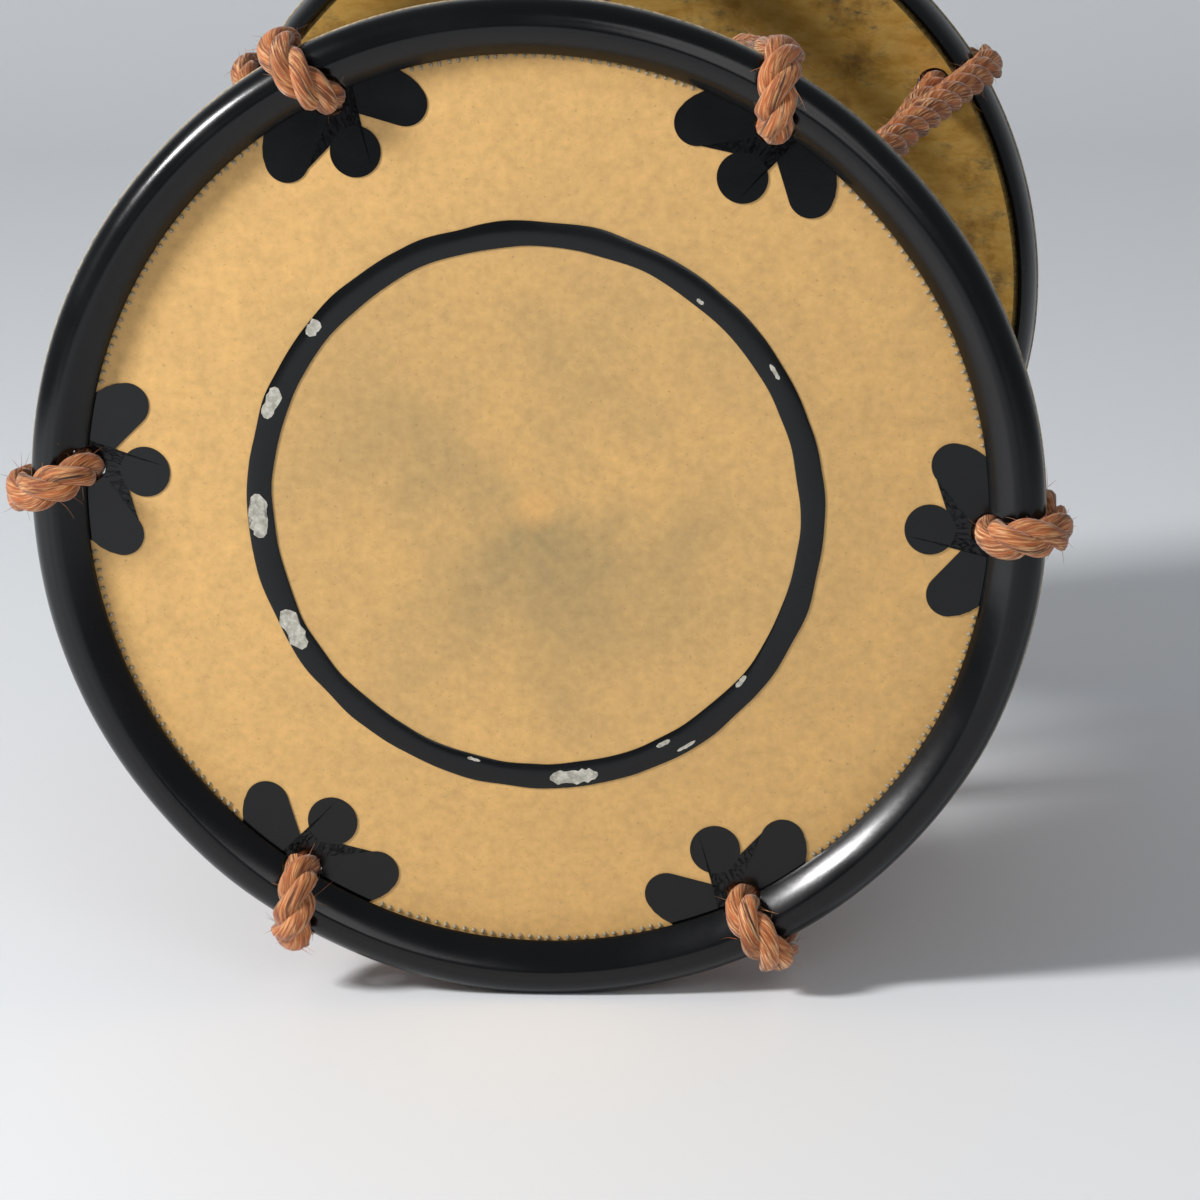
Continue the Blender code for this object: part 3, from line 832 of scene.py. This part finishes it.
    def build_inner_hide(self) -> None:
        """The gilded hide behind the padding."""
        size = self.sizes
        lift = size.hide + 2 * size.gap
        face = [(r, size.skin_depth(r) + lift) for r in (58.5, 64.0, 70.0)]
        face += [(73.5, 3.4), (76.5, 5.4), (79.2, 7.5), (82.0, 9.3), (84.5, 10.5), (87.0, 11.2), (90.5, 11.6),
                 (94.4, 11.75)]
        back = [(r, d + size.hide) for r, d in face]
        builder = self.turned(face + back[::-1], ripple=self.hide_ripple)
        map_plane(builder)
        item = self.shop.store(self.name("gilded_hide"), builder, self.finishes.gold, "gold_leaf",
                               [self.name("inner_hide")])
        self.pierce(item, size.hole)

    def build_centre_ring(self) -> None:
        """The lacquered ring over the body's mouth, a strip laid by hand with wavy edges."""
        low, high = self.sizes.ring_inner, self.sizes.ring_outer
        middle = (low + high) / 2
        profile = [(low, 0.1), (low, -0.22), (low + 0.5, -0.42), (middle, -0.5), (high - 0.5, -0.42),
                   (high, -0.22), (high, 0.1)]
        builder = spun([(r, self.axial(d)) for r, d in profile], True, self.ring_steps)
        bmesh.ops.transform(builder, matrix=self.oval(), verts=builder.verts)
        for vert in builder.verts:
            flat = Vector((vert.co.x, 0.0, vert.co.z))
            shift = 5.0 if flat.length > middle else -5.0
            amount = min(1.0, abs(flat.length - middle) / 1.5)
            wave = noise.noise(flat / 9.0 + Vector((shift, 0.0, 0.0))) * 0.45
            vert.co += flat.normalized() * (wave * amount)
        self.shop.store(self.name("lacquered_ring"), builder, self.finishes.lacquer, "lacquer",
                        [self.name("centre_ring")])

    def build_chips(self) -> None:
        """Flaked places on the centre ring, where the pale ground coat shows."""
        draw = random.Random(self.chip_seed)
        builder = bmesh.new()
        for chip in self.chips:
            verts = [builder.verts.new(self.spot(r, a, self.chip_depth)) for r, a in chip.outline(draw)]
            bmesh.ops.triangulate(builder, faces=[builder.faces.new(verts)])
        bmesh.ops.translate(builder, vec=AXIS * self.chip_thickness, verts=thickened(builder))
        self.shop.store(self.name("ring_chips"), builder, self.finishes.chip, "lacquer")

    def mark_outline(self) -> list[Point]:
        """The petal mark's outline: disc, stem and two petals, x along the rim and y outwards."""
        disc = arc((0.0, 0.0), 5.0, 94.0, 270.0, 22)
        stem = [(-0.35, 6.6), (-0.6, 7.6), (-1.9, 8.0)]
        petal = arc((-12.95, 4.15), 4.4, 312.0, 165.0, 18) + [(-17.0, 6.5), (-16.2, 8.4), (-15.0, 10.2)]
        gap = self.sizes.hole - 0.15
        start = 90.0 + degrees(atan2(15.0, self.mark_edge))
        end = 90.0 + degrees(gap / self.mark_edge)
        rim = arc((0.0, -self.sizes.mark_at), self.mark_edge, start, end, 8)
        hole = arc((0.0, self.sizes.hole_at - self.sizes.mark_at), gap, 180.0, 270.0, 9)
        left = disc[::-1] + stem + petal + rim + hole
        return left + [(-x, y) for x, y in left[1:-1]][::-1]

    def build_mark(self, number: int, angle: float) -> None:
        """One lacquered petal mark round a hole, running into the rim.

        Args:
            number: The hole's number.
            angle: Its angle in degrees.
        """
        size = self.sizes
        builder = bmesh.new()
        verts = [builder.verts.new((x, 0.0, y)) for x, y in self.mark_outline()]
        bmesh.ops.triangulate(builder, faces=[builder.faces.new(verts)])
        for _ in range(3):
            long = [edge for edge in builder.edges if edge.calc_length() > self.mark_facet]
            bmesh.ops.subdivide_edges(builder, edges=long, cuts=1, use_grid_fill=True)
            bmesh.ops.triangulate(builder, faces=builder.faces[:])
        raised = set(thickened(builder))
        turn = radians(angle)
        for vert in builder.verts:
            x, out = vert.co.x, size.mark_at + vert.co.z
            depth = size.skin_depth(hypot(out, x)) + 0.1
            if vert in raised:
                depth -= self.mark_thickness
            vert.co = (out * cos(turn) + x * sin(turn), self.axial(depth), out * sin(turn) - x * cos(turn))
        bmesh.ops.transform(builder, matrix=self.oval(), verts=builder.verts)
        self.shop.store(self.name(f"petals_{number}"), builder, self.finishes.lacquer, "lacquer",
                        [self.name(f"petal_mark_{number}")])

    def build_stitches(self) -> None:
        """The hemp stitches along the rim, between the petal marks."""
        size = self.sizes
        draw = random.Random(self.stitch_seed)
        for number, angle in enumerate(self.holes, 1):
            following = self.holes[number % HOLE_COUNT] + (FULL_TURN if number == HOLE_COUNT else 0.0)
            start, end = angle + self.stitch_start, following - self.stitch_start
            count = int(radians(end - start) * size.band / self.stitch_pitch)
            builder = bmesh.new()
            for k in range(count + 1):
                at = start + (end - start) * k / count + draw.uniform(-0.1, 0.1)
                radius = size.band - 0.45 + draw.uniform(-0.12, 0.12)
                place = Matrix.Translation(self.spot(radius, at, size.skin_depth(radius) - 0.12))
                turn = Matrix.Rotation(-radians(at), 4, "Y")
                out, deep, along = self.stitch_half
                shape = Matrix.Diagonal((out + draw.uniform(-0.1, 0.12), deep, along, 1.0))
                bmesh.ops.create_icosphere(builder, subdivisions=1, radius=1.0, matrix=place @ turn @ shape)
            self.shop.store(self.name(f"stitches_{number}"), builder, self.finishes.thread, "thread",
                            [self.name(f"stitching_{number}")], 80.0)


# The cords

@dataclass
class Station:
    """One place on a cord's route with the half sizes of its section, in mm."""

    place: Vector
    wide: float
    thick: float


def round_station(place: Vector, radius: float) -> Station:
    """A place where the cord is round."""
    return Station(place, radius, radius)


def centripetal(points: Sequence[Vector], knots: Sequence[float], at: float) -> Vector:
    """A point on the centripetal curve through four places.

    Args:
        points: The four places.
        knots: Their knot values.
        at: Where between the middle two.

    Returns:
        The point.
    """
    level = list(points)
    for span in (1, 2):
        level = [level[k] * ((knots[k + span] - at) / (knots[k + span] - knots[k]))
                 + level[k + 1] * ((at - knots[k]) / (knots[k + span] - knots[k]))
                 for k in range(len(level) - 1)]
    share = (at - knots[1]) / (knots[2] - knots[1])
    return level[0].lerp(level[1], share)


@dataclass
class LaidCord:
    """A cord of laid plies along a route, with stray fibres."""

    shop: Workshop
    finishes: Finishes
    plies: int = 3
    pitch: float = 21.0
    step: float = 0.85
    sides: int = 12
    across: Optional[Vector] = None
    hair_half: float = 0.055
    ply_centre: Point = (0.46, 0.44)     # shares of the cord's half sizes
    ply_half: Point = (0.55, 0.57)
    lump: float = 0.07

    def resample(self, route: Sequence[Station]) -> list[Station]:
        """Draws a smooth curve through a route and divides it evenly.

        Args:
            route: The route's stations.

        Returns:
            Stations a step apart.
        """
        dense: list[Station] = []
        for index in range(len(route) - 1):
            quad = around_index(route, index)
            start, end = quad[1], quad[2]
            count = max(1, int((end.place - start.place).length / self.step))
            knots = [0.0]
            for first, second in zip(quad, quad[1:]):
                knots.append(knots[-1] + max(1e-3, (second.place - first.place).length) ** 0.5)
            for k in range(count):
                share = k / count
                at = knots[1] + (knots[2] - knots[1]) * k / count
                place = centripetal([q.place for q in quad], knots, at)
                dense.append(Station(place, start.wide + (end.wide - start.wide) * share,
                                     start.thick + (end.thick - start.thick) * share))
        dense.append(route[-1])
        return dense

    def frames(self, dense: Sequence[Station]) -> list[Frame]:
        """The direction, the way round the drum and the way outwards at each station."""
        made: list[Frame] = []
        for index, station in enumerate(dense):
            _, _, following, _ = around_index(dense, index)
            ahead = (following.place - dense[max(index - 1, 0)].place).normalized()
            around = self.across or Vector((-station.place.z, 0.0, station.place.x)).normalized()
            around = (around - ahead * around.dot(ahead)).normalized()
            made.append((ahead, around, ahead.cross(around)))
        return made

    def build(self, name: str, route: Sequence[Station], replaced: Sequence[str], hairs: int) -> None:
        """Builds the plies and the stray fibres as one piece.

        Args:
            name: The piece's name.
            route: The route's stations.
            replaced: CAD nodes that it stands for.
            hairs: Number of stray fibres.
        """
        dense = self.resample(route)
        frames = self.frames(dense)
        builder = bmesh.new()
        layer = builder.loops.layers.uv.new("lay")
        draw = random.Random(len(dense))
        for ply in range(self.plies):
            self.add_ply(builder, layer, dense, frames, ply)
        for _ in range(hairs):
            index = draw.randrange(4, len(dense) - 5)
            self.add_hair(builder, layer, index, dense[index], frames[index], draw)
        self.shop.store(name, builder, self.finishes.cord, "cord", replaced, 75.0)

    def add_ply(self, builder: Mesh, layer, dense: Sequence[Station], frames: Sequence[Frame],
                ply: int) -> None:
        """Adds one twisted ply as a tube.

        Args:
            builder: The cord's mesh.
            layer: Its map, in mm around and along.
            dense: The route's stations.
            frames: The directions at each.
            ply: The ply's number.
        """
        rings = []
        travels = []
        travel = 0.0
        for index, station in enumerate(dense):
            if index:
                travel += (station.place - dense[index - 1].place).length
            _, around, out = frames[index]
            phase = 2 * pi * (travel / self.pitch + ply / self.plies)
            wide, thick = station.wide, station.thick
            centre = station.place + around * (cos(phase) * wide * self.ply_centre[0])
            centre = centre + out * (sin(phase) * thick * self.ply_centre[1])
            ring = []
            for side in range(self.sides):
                angle = 2 * pi * side / self.sides
                lump = 1.0 + self.lump * noise.noise(Vector((travel / 3.0, side * 1.7, ply * 9.0)))
                spoke = around * (cos(angle) * wide * self.ply_half[0])
                spoke = spoke + out * (sin(angle) * thick * self.ply_half[1])
                ring.append(builder.verts.new(centre + spoke * lump))
            rings.append(ring)
            travels.append(travel)
        for face, index, side in add_tube(builder, rings):
            for loop, shift, row in zip(face.loops, (0, 1, 1, 0), (0, 0, 1, 1)):
                turn = 2 * pi * (side + shift) / self.sides
                along = travels[index + row]
                loop[layer].uv = (turn * 2.1 + ply * 31.0 + along * 0.35, along)

    def add_hair(self, builder: Mesh, layer, index: int, station: Station, frame: Frame,
                 draw: random.Random) -> None:
        """Adds a stray fibre that stands off the cord.

        Args:
            builder: The cord's mesh.
            layer: Its map.
            index: The station's index.
            station: Where the fibre is rooted.
            frame: The directions there.
            draw: Source of its shape.
        """
        ahead, around, out = frame
        angle = draw.uniform(0.0, 2 * pi)
        away = around * cos(angle) * station.wide + out * sin(angle) * station.thick
        root = station.place + away * 0.92
        lean = (away.normalized() * draw.uniform(0.3, 1.0) + ahead * draw.uniform(-1.0, 1.0)).normalized()
        curl = Vector((draw.uniform(-1, 1), draw.uniform(-1, 1), draw.uniform(-1, 1))) * 0.8
        length = draw.uniform(1.5, 4.5)
        width = ahead.cross(lean).normalized() * self.hair_half
        depth = width.cross(lean).normalized() * self.hair_half
        corners = (width, -width * 0.5 + depth, -width * 0.5 - depth)
        rings = []
        for row, share in enumerate((0.0, 0.35, 0.7, 1.0)):
            point = root + lean * (length * share) + curl * (share * share * length * 0.35)
            thin = 1.0 - 0.25 * row
            rings.append([builder.verts.new(point + corner * thin) for corner in corners])
        for face, _, _ in add_tube(builder, rings):
            for loop in face.loops:
                loop[layer].uv = (angle * 5.0, index * 0.8)


@dataclass
class Lacing:
    """The long cord through both heads and the waist cord round its strands."""

    front: Head
    rear: Head
    cord: LaidCord
    spacing: float
    front_lean: Sequence[float] = (6.0, 4.5, 6.0, 5.5, 1.5, 1.5)
    rear_lean: float = -3.5
    radius: float = 3.9
    in_hole: float = 3.55
    flat_half: float = 2.55
    wide_half: float = 4.1
    waist: float = 60.0
    waist_half: float = 14.0
    waist_turns: int = 2
    waist_knot_angle: float = 62.0
    pair: float = 4.15
    knot_length: float = 12.0      # from the first turn's middle to the last one's
    knot_radius: float = 6.4
    knot_turns: float = 4.0
    knot_steps: int = 72
    knot_strand: float = 2.2
    hairs: int = 2600
    waist_hairs: int = 500
    knot_hairs: int = 60
    waist_tail: float = 8.0        # the waist cord's ends run out into its knot
    long_run: float = 40.0
    long_runs: int = 24

    def waist_place(self, number: int, side: int, height: float) -> Vector:
        """Where a strand passes under the waist cord."""
        angle = radians(self.rear.holes[number])
        place = Vector((cos(angle), 0.0, sin(angle))) * self.waist
        place += Vector((-sin(angle), 0.0, cos(angle))) * (side * self.pair)
        return Vector((place.x, self.spacing / 2 + height, place.z))

    def loop(self, head: Head, angle: float, lean: float) -> list[Station]:
        """The cord from inside a head through its hole and over its rim.

        Args:
            head: The head.
            angle: The hole's angle in degrees.
            lean: How far the loop leans along the rim, in mm.

        Returns:
            The loop's stations.
        """
        size = head.sizes
        ride = self.flat_half + size.gap + 0.05
        around = size.roll + ride
        path = [(size.hole_at, 15.5, 0.0, 1.0), (size.hole_at, 12.6, 0.0, 1.0), (size.hole_at, 1.6, 0.0, 1.0),
                (size.hole_at + 0.5, -1.9, 0.05, 0.75), (size.hole_at + 2.2, -4.6, 0.2, 0.3),
                (size.crest_inner + 0.4, -size.crest_height - ride, 0.45, 0.0)]
        for turn in (-55.0, -22.0, 8.0):
            path.append((size.rim - size.roll + around * cos(radians(turn)),
                         size.widest_depth + around * sin(radians(turn)),
                         min(1.0, 0.8 + 0.2 * (turn + 55.0) / 48.0), 0.0))
        path.append((size.rim - 0.8 + ride * 0.97, size.widest_depth + size.shoulder, 1.0, 0.0))
        made = []
        for radius, depth, share, roundness in path:
            wide = self.wide_half + (self.in_hole - self.wide_half) * roundness
            thick = self.flat_half + (self.in_hole - self.flat_half) * roundness
            place = head.spot(radius, angle + degrees(lean * share / radius), depth)
            made.append(Station(place, wide, thick))
        return made

    def stations(self) -> list[Station]:
        """The whole route, closed on itself."""
        route: list[Station] = []
        for number in range(HOLE_COUNT):
            for head, side in ((self.front, -1), (self.rear, 1)):
                rear = head is self.rear
                index = number if rear else (number - 1) % HOLE_COUNT
                lean = self.rear_lean if rear else self.front_lean[index]
                route.extend(self.loop(head, head.holes[index], lean))
                for height in (-self.waist_half, self.waist_half):
                    place = self.waist_place(number, side, -height if rear else height)
                    route.append(round_station(place, self.radius))
        return route

    def build(self) -> None:
        """Builds the lacing cord, its knot, the waist cord and its knot."""
        route = self.stations()
        dense: list[Station] = []
        for index, station in enumerate(route):
            dense.append(station)
            run = route[(index + 1) % len(route)].place - station.place
            if run.length > self.long_run:
                dense += [round_station(station.place + run * share, self.radius) for share in (0.09, 0.93)]
        ends = [(a.place, b.place) for a, b in zip(dense, dense[1:] + dense[:1])]
        longest = sorted(range(len(ends)), key=lambda k: -(ends[k][1] - ends[k][0]).length)[:self.long_runs]
        ahead = [k for k in longest if ends[k][0].y + ends[k][1].y < self.spacing]
        chosen = min(ahead, key=lambda k: ends[k][0].z + ends[k][1].z)
        start, end = ends[chosen]
        along = (end - start).normalized()
        middle = (start + end) / 2
        first, last = (round_station(middle + along * way, self.radius) for way in (1.0, -1.0))
        opened = dense[chosen + 1:] + dense[:chosen + 1]
        self.cord.build("lacing", [first] + opened + [last], ["lacing_cord"], self.hairs)
        self.build_knot("lacing_tie", middle, along, "lacing_knot")
        self.build_waist()

    def build_knot(self, name: str, middle: Vector, along: Vector, replaced: str) -> None:
        """A tight wrapping of cord as a knot.

        Args:
            name: The piece's name.
            middle: Its middle.
            along: The direction of the wrapped cord.
            replaced: The CAD node that it stands for.
        """
        across = along.orthogonal().normalized()
        other = along.cross(across)
        route = []
        for k in range(self.knot_steps + 1):
            share = k / self.knot_steps
            angle = 2 * pi * self.knot_turns * share
            swell = 3.9 - 1.6 * abs(2 * share - 1) ** 4
            place = middle + along * ((share - 0.5) * self.knot_length)
            place = place + across * (swell * cos(angle)) + other * (swell * sin(angle))
            route.append(round_station(place, self.knot_strand))
        knot = LaidCord(self.cord.shop, self.cord.finishes, plies=2, pitch=9.0, step=0.8, across=along)
        knot.build(name, route, [replaced], self.knot_hairs)

    def waist_route_place(self, angle: float, radius: float) -> Vector:
        """A place on the waist cord's spiral, which starts at its knot."""
        share = (angle - self.waist_knot_angle) / FULL_TURN - self.waist_turns / 2
        pitch = self.radius * 2 + self.front.sizes.gap + 0.2
        return ring_point(radius, angle, self.spacing / 2 + share * pitch)

    def build_waist(self) -> None:
        """Turns of cord round the strands at mid-length, ending in a knot."""
        gap = self.front.sizes.gap
        knot = self.waist_knot_angle
        over = self.waist + self.radius * 2 + gap + 0.35
        beside = degrees(self.pair / over) + 1.5
        shifts = (-beside, 0.0, beside)
        corners = sorted((hole + shift) % FULL_TURN for hole in self.rear.holes for shift in shifts)
        once = [c for c in corners if c > knot] + [c + FULL_TURN for c in corners if c < knot]
        start, end = (self.waist_route_place(knot + FULL_TURN * turn, over * 0.93)
                      for turn in (0, self.waist_turns))
        outwards = ring_point(1.0, knot)
        route = [round_station(start + outwards * self.waist_tail, self.radius)]
        for turn in range(self.waist_turns):
            route += [round_station(self.waist_route_place(angle + FULL_TURN * turn, over), self.radius)
                      for angle in once]
        route.append(round_station(end + outwards * self.waist_tail, self.radius))
        cord = LaidCord(self.cord.shop, self.cord.finishes, across=AXIS)
        cord.build("waist_lacing", route, ["waist_cord"], self.waist_hairs)
        middle = (start + end) / 2 + outwards * (4.5 + self.radius + self.knot_radius + gap)
        self.build_knot("waist_tie", middle, AXIS, "waist_knot")


# The body

@dataclass
class Body:
    """The hourglass wooden body, lacquered outside and bare inside.

    Its lines are given as distance from the mouth and radius.
    """

    spacing: float
    shop: Workshop
    finishes: Finishes
    outside: Sequence[Point] = ((0.0, 50.6), (1.2, 51.5), (16.0, 51.0), (34.0, 48.0), (50.0, 42.4),
                                (63.0, 35.2), (75.0, 26.8), (83.0, 24.3), (102.0, 24.2))
    inside: Sequence[Point] = ((0.0, 47.0), (1.6, 45.6), (24.0, 43.0), (44.0, 35.6), (60.0, 24.0),
                               (72.0, 15.0))
    waist: float = 24.9
    bore: float = 15.0
    steps: int = 144

    def build(self) -> None:
        """Turns the body from its outside and inside lines."""
        sizes = HeadSizes()
        reach = self.spacing / 2 - sizes.hide - sizes.gap
        outer = self.smooth([(r, reach - y) for y, r in self.outside] + [(self.waist, 0.0)])
        inner = self.smooth([(r, reach - y) for y, r in self.inside] + [(self.bore, 0.0)])
        mirrored = [[(r, -y) for r, y in line[:-1]] for line in (outer, inner)]
        profile = mirrored[0] + outer[::-1] + inner + mirrored[1][::-1]
        builder = spun([(r, y + self.spacing / 2) for r, y in profile], True, self.steps)
        bmesh.ops.recalc_face_normals(builder, faces=builder.faces)
        for face in builder.faces:
            middle = face.calc_center_median()
            if face.normal.dot(Vector((middle.x, 0.0, middle.z))) < 0:
                face.material_index = 1
        item = self.shop.store("turned_body", builder, self.finishes.body, "lacquered_wood", ["body"], 50.0)
        item.data.materials.append(self.finishes.wood)

    @staticmethod
    def smooth(points: Sequence[Point]) -> list[Point]:
        """Rounds a line with a curve through its points."""
        made: list[Point] = []
        for index in range(len(points) - 1):
            quad = around_index(points, index)
            for share in (0.0, 0.25, 0.5, 0.75):
                values = []
                for a, b, c, d in zip(*quad):
                    values.append(0.5 * (2 * b + (c - a) * share + (2 * a - 5 * b + 4 * c - d) * share ** 2
                                         + (3 * b - a - 3 * c + d) * share ** 3))
                made.append((values[0], values[1]))
        made.append(points[-1])
        return made


# Camera, floor and light

@dataclass(frozen=True)
class Lamp:
    """A square light: place and size in metres, power in watts."""

    name: str
    spot: Triple
    size: float
    watts: float


@dataclass
class Studio:
    """Camera, floor and light; the camera's place is in the drum's own mm."""

    place: Matrix
    lens: float = 164.2
    sensor: float = 36.0
    spot: Triple = (89.06, -1041.78, 236.97)
    right: Triple = (0.99746, 0.06923, -0.01698)
    ahead: Triple = (-0.07128, 0.96874, -0.23763)
    lamps: Sequence[Lamp] = (Lamp("key", (-1.15, -0.75, 0.95), 0.32, 27.0),
                             Lamp("fill", (0.5, -1.6, 0.9), 0.8, 4.0))
    aim: Triple = (0.0, 0.0, 0.1)
    clip: Point = (0.05, 20.0)
    sky: str = "#DDE2E8"
    sky_strength: float = 0.3
    floor_colour: str = "#EEF0F2"
    floor_half: float = 4.0
    backdrop: Triple = (0.5, 1.1, 2.2)

    def build(self) -> None:
        """Sets the camera, the floor, the lights and the world."""
        self.build_camera()
        self.build_floor()
        self.build_lights()

    def build_camera(self) -> None:
        """A long lens at the photograph's angle."""
        data = bpy.data.cameras.new("camera")
        data.lens = self.lens
        data.sensor_width = self.sensor
        data.sensor_height = self.sensor
        data.sensor_fit = "AUTO"
        data.clip_start, data.clip_end = self.clip
        item = bpy.data.objects.new("camera", data)
        back = -Vector(self.ahead).normalized()
        right = Vector(self.right)
        right = (right - back * right.dot(back)).normalized()
        turn = Matrix((right, back.cross(right), back)).transposed().to_4x4()
        turn = self.place.to_3x3().to_4x4() @ turn
        item.matrix_world = Matrix.Translation(self.place @ (Vector(self.spot) * MM)) @ turn
        bpy.context.scene.collection.objects.link(item)
        bpy.context.scene.camera = item

    def build_floor(self) -> None:
        """A pale floor that curves up into a backdrop."""
        builder = bmesh.new()
        radius, depth, height = self.backdrop
        line = [(-self.floor_half, 0.0), (depth, 0.0)]
        line += arc((depth, radius), radius, -80.0, 0.0, 8)
        line.append((depth + radius, height))
        verts = [builder.verts.new((-self.floor_half, y, z)) for y, z in line]
        edges = [builder.edges.new(pair) for pair in zip(verts, verts[1:])]
        grown = bmesh.ops.extrude_edge_only(builder, edges=edges)
        moved = [part for part in grown["geom"] if isinstance(part, bmesh.types.BMVert)]
        bmesh.ops.translate(builder, vec=(2 * self.floor_half, 0.0, 0.0), verts=moved)
        bmesh.ops.recalc_face_normals(builder, faces=builder.faces)
        if sum(face.normal.z for face in builder.faces) < 0:
            bmesh.ops.reverse_faces(builder, faces=builder.faces)
        mesh = bpy.data.meshes.new("floor")
        builder.to_mesh(mesh)
        builder.free()
        mesh.shade_smooth()
        paint = {"Base Color": linear_rgb(self.floor_colour), "Roughness": 0.55}
        mesh.materials.append(Recipe("painted_floor").finish(paint))
        item = bpy.data.objects.new("floor", mesh)
        bpy.context.scene.collection.objects.link(item)

    def build_lights(self) -> None:
        """A key light from the upper left, a weak fill from the front and a pale world."""
        for lamp in self.lamps:
            data = bpy.data.lights.new(lamp.name, "AREA")
            data.shape = "SQUARE"
            data.size = lamp.size
            data.energy = lamp.watts
            item = bpy.data.objects.new(lamp.name, data)
            aim = Vector(self.aim) - Vector(lamp.spot)
            item.rotation_euler = aim.to_track_quat("-Z", "Y").to_euler()
            item.location = lamp.spot
            bpy.context.scene.collection.objects.link(item)
        world = bpy.data.worlds.new("studio")
        bpy.context.scene.world = world
        world.use_nodes = True
        background = world.node_tree.nodes["Background"]
        background.inputs["Color"].default_value = linear_rgb(self.sky)
        background.inputs["Strength"].default_value = self.sky_strength


# The whole

def drum_place(record: dict) -> tuple[Matrix, float]:
    """Reads the drum's resting attitude from the two skin faces.

    Args:
        record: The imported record.

    Returns:
        The matrix from drum axes to the frame, and the spacing of the skin faces in mm.
    """
    spots = {mount["name"]: Vector(mount["pos_m"]) for mount in record["mounts"]}
    start, end = spots["front_face"], spots["rear_face"]
    axis = (end - start).normalized()
    tip = atan2(axis.z, axis.y)
    return Matrix.Translation(start) @ Matrix.Rotation(tip, 4, "X"), (end - start).length / MM


def dress_hidden(finishes: Finishes) -> None:
    """Gives the inner CAD pieces their materials."""
    for side in Side:
        for label, material in (("iron_ring", finishes.iron), ("straw_core", finishes.straw)):
            item = bpy.data.objects[f"{side.value}_{label}"]
            item.data.materials.clear()
            item.data.materials.append(material)


def main() -> None:
    """Builds the dressed drum in order."""
    logging.basicConfig(level=logging.INFO, format="%(message)s")
    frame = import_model()
    place, spacing = drum_place(frame["record"])
    Studio(place).build()
    bpy.context.scene.view_settings.view_transform = "Standard"
    finishes = Finishes()
    shop = Workshop(place)
    front_holes = [FRONT_HOLE_ANGLE + HOLE_STEP * k + drift for k, drift in enumerate(HOLE_DRIFT)]
    rear_holes = [REAR_HOLE_ANGLE + HOLE_STEP * k for k in range(HOLE_COUNT)]
    front = Head(Side.FRONT, front_holes, spacing, shop, finishes, stretch=FRONT_OVAL, chips=RING_CHIPS)
    rear = Head(Side.REAR, rear_holes, spacing, shop, finishes)
    front.build()
    rear.build()
    Body(spacing, shop, finishes).build()
    Lacing(front, rear, LaidCord(shop, finishes), spacing).build()
    dress_hidden(finishes)
    LOG.info("%d pieces", shop.pieces)


if __name__ == "__main__":
    main()
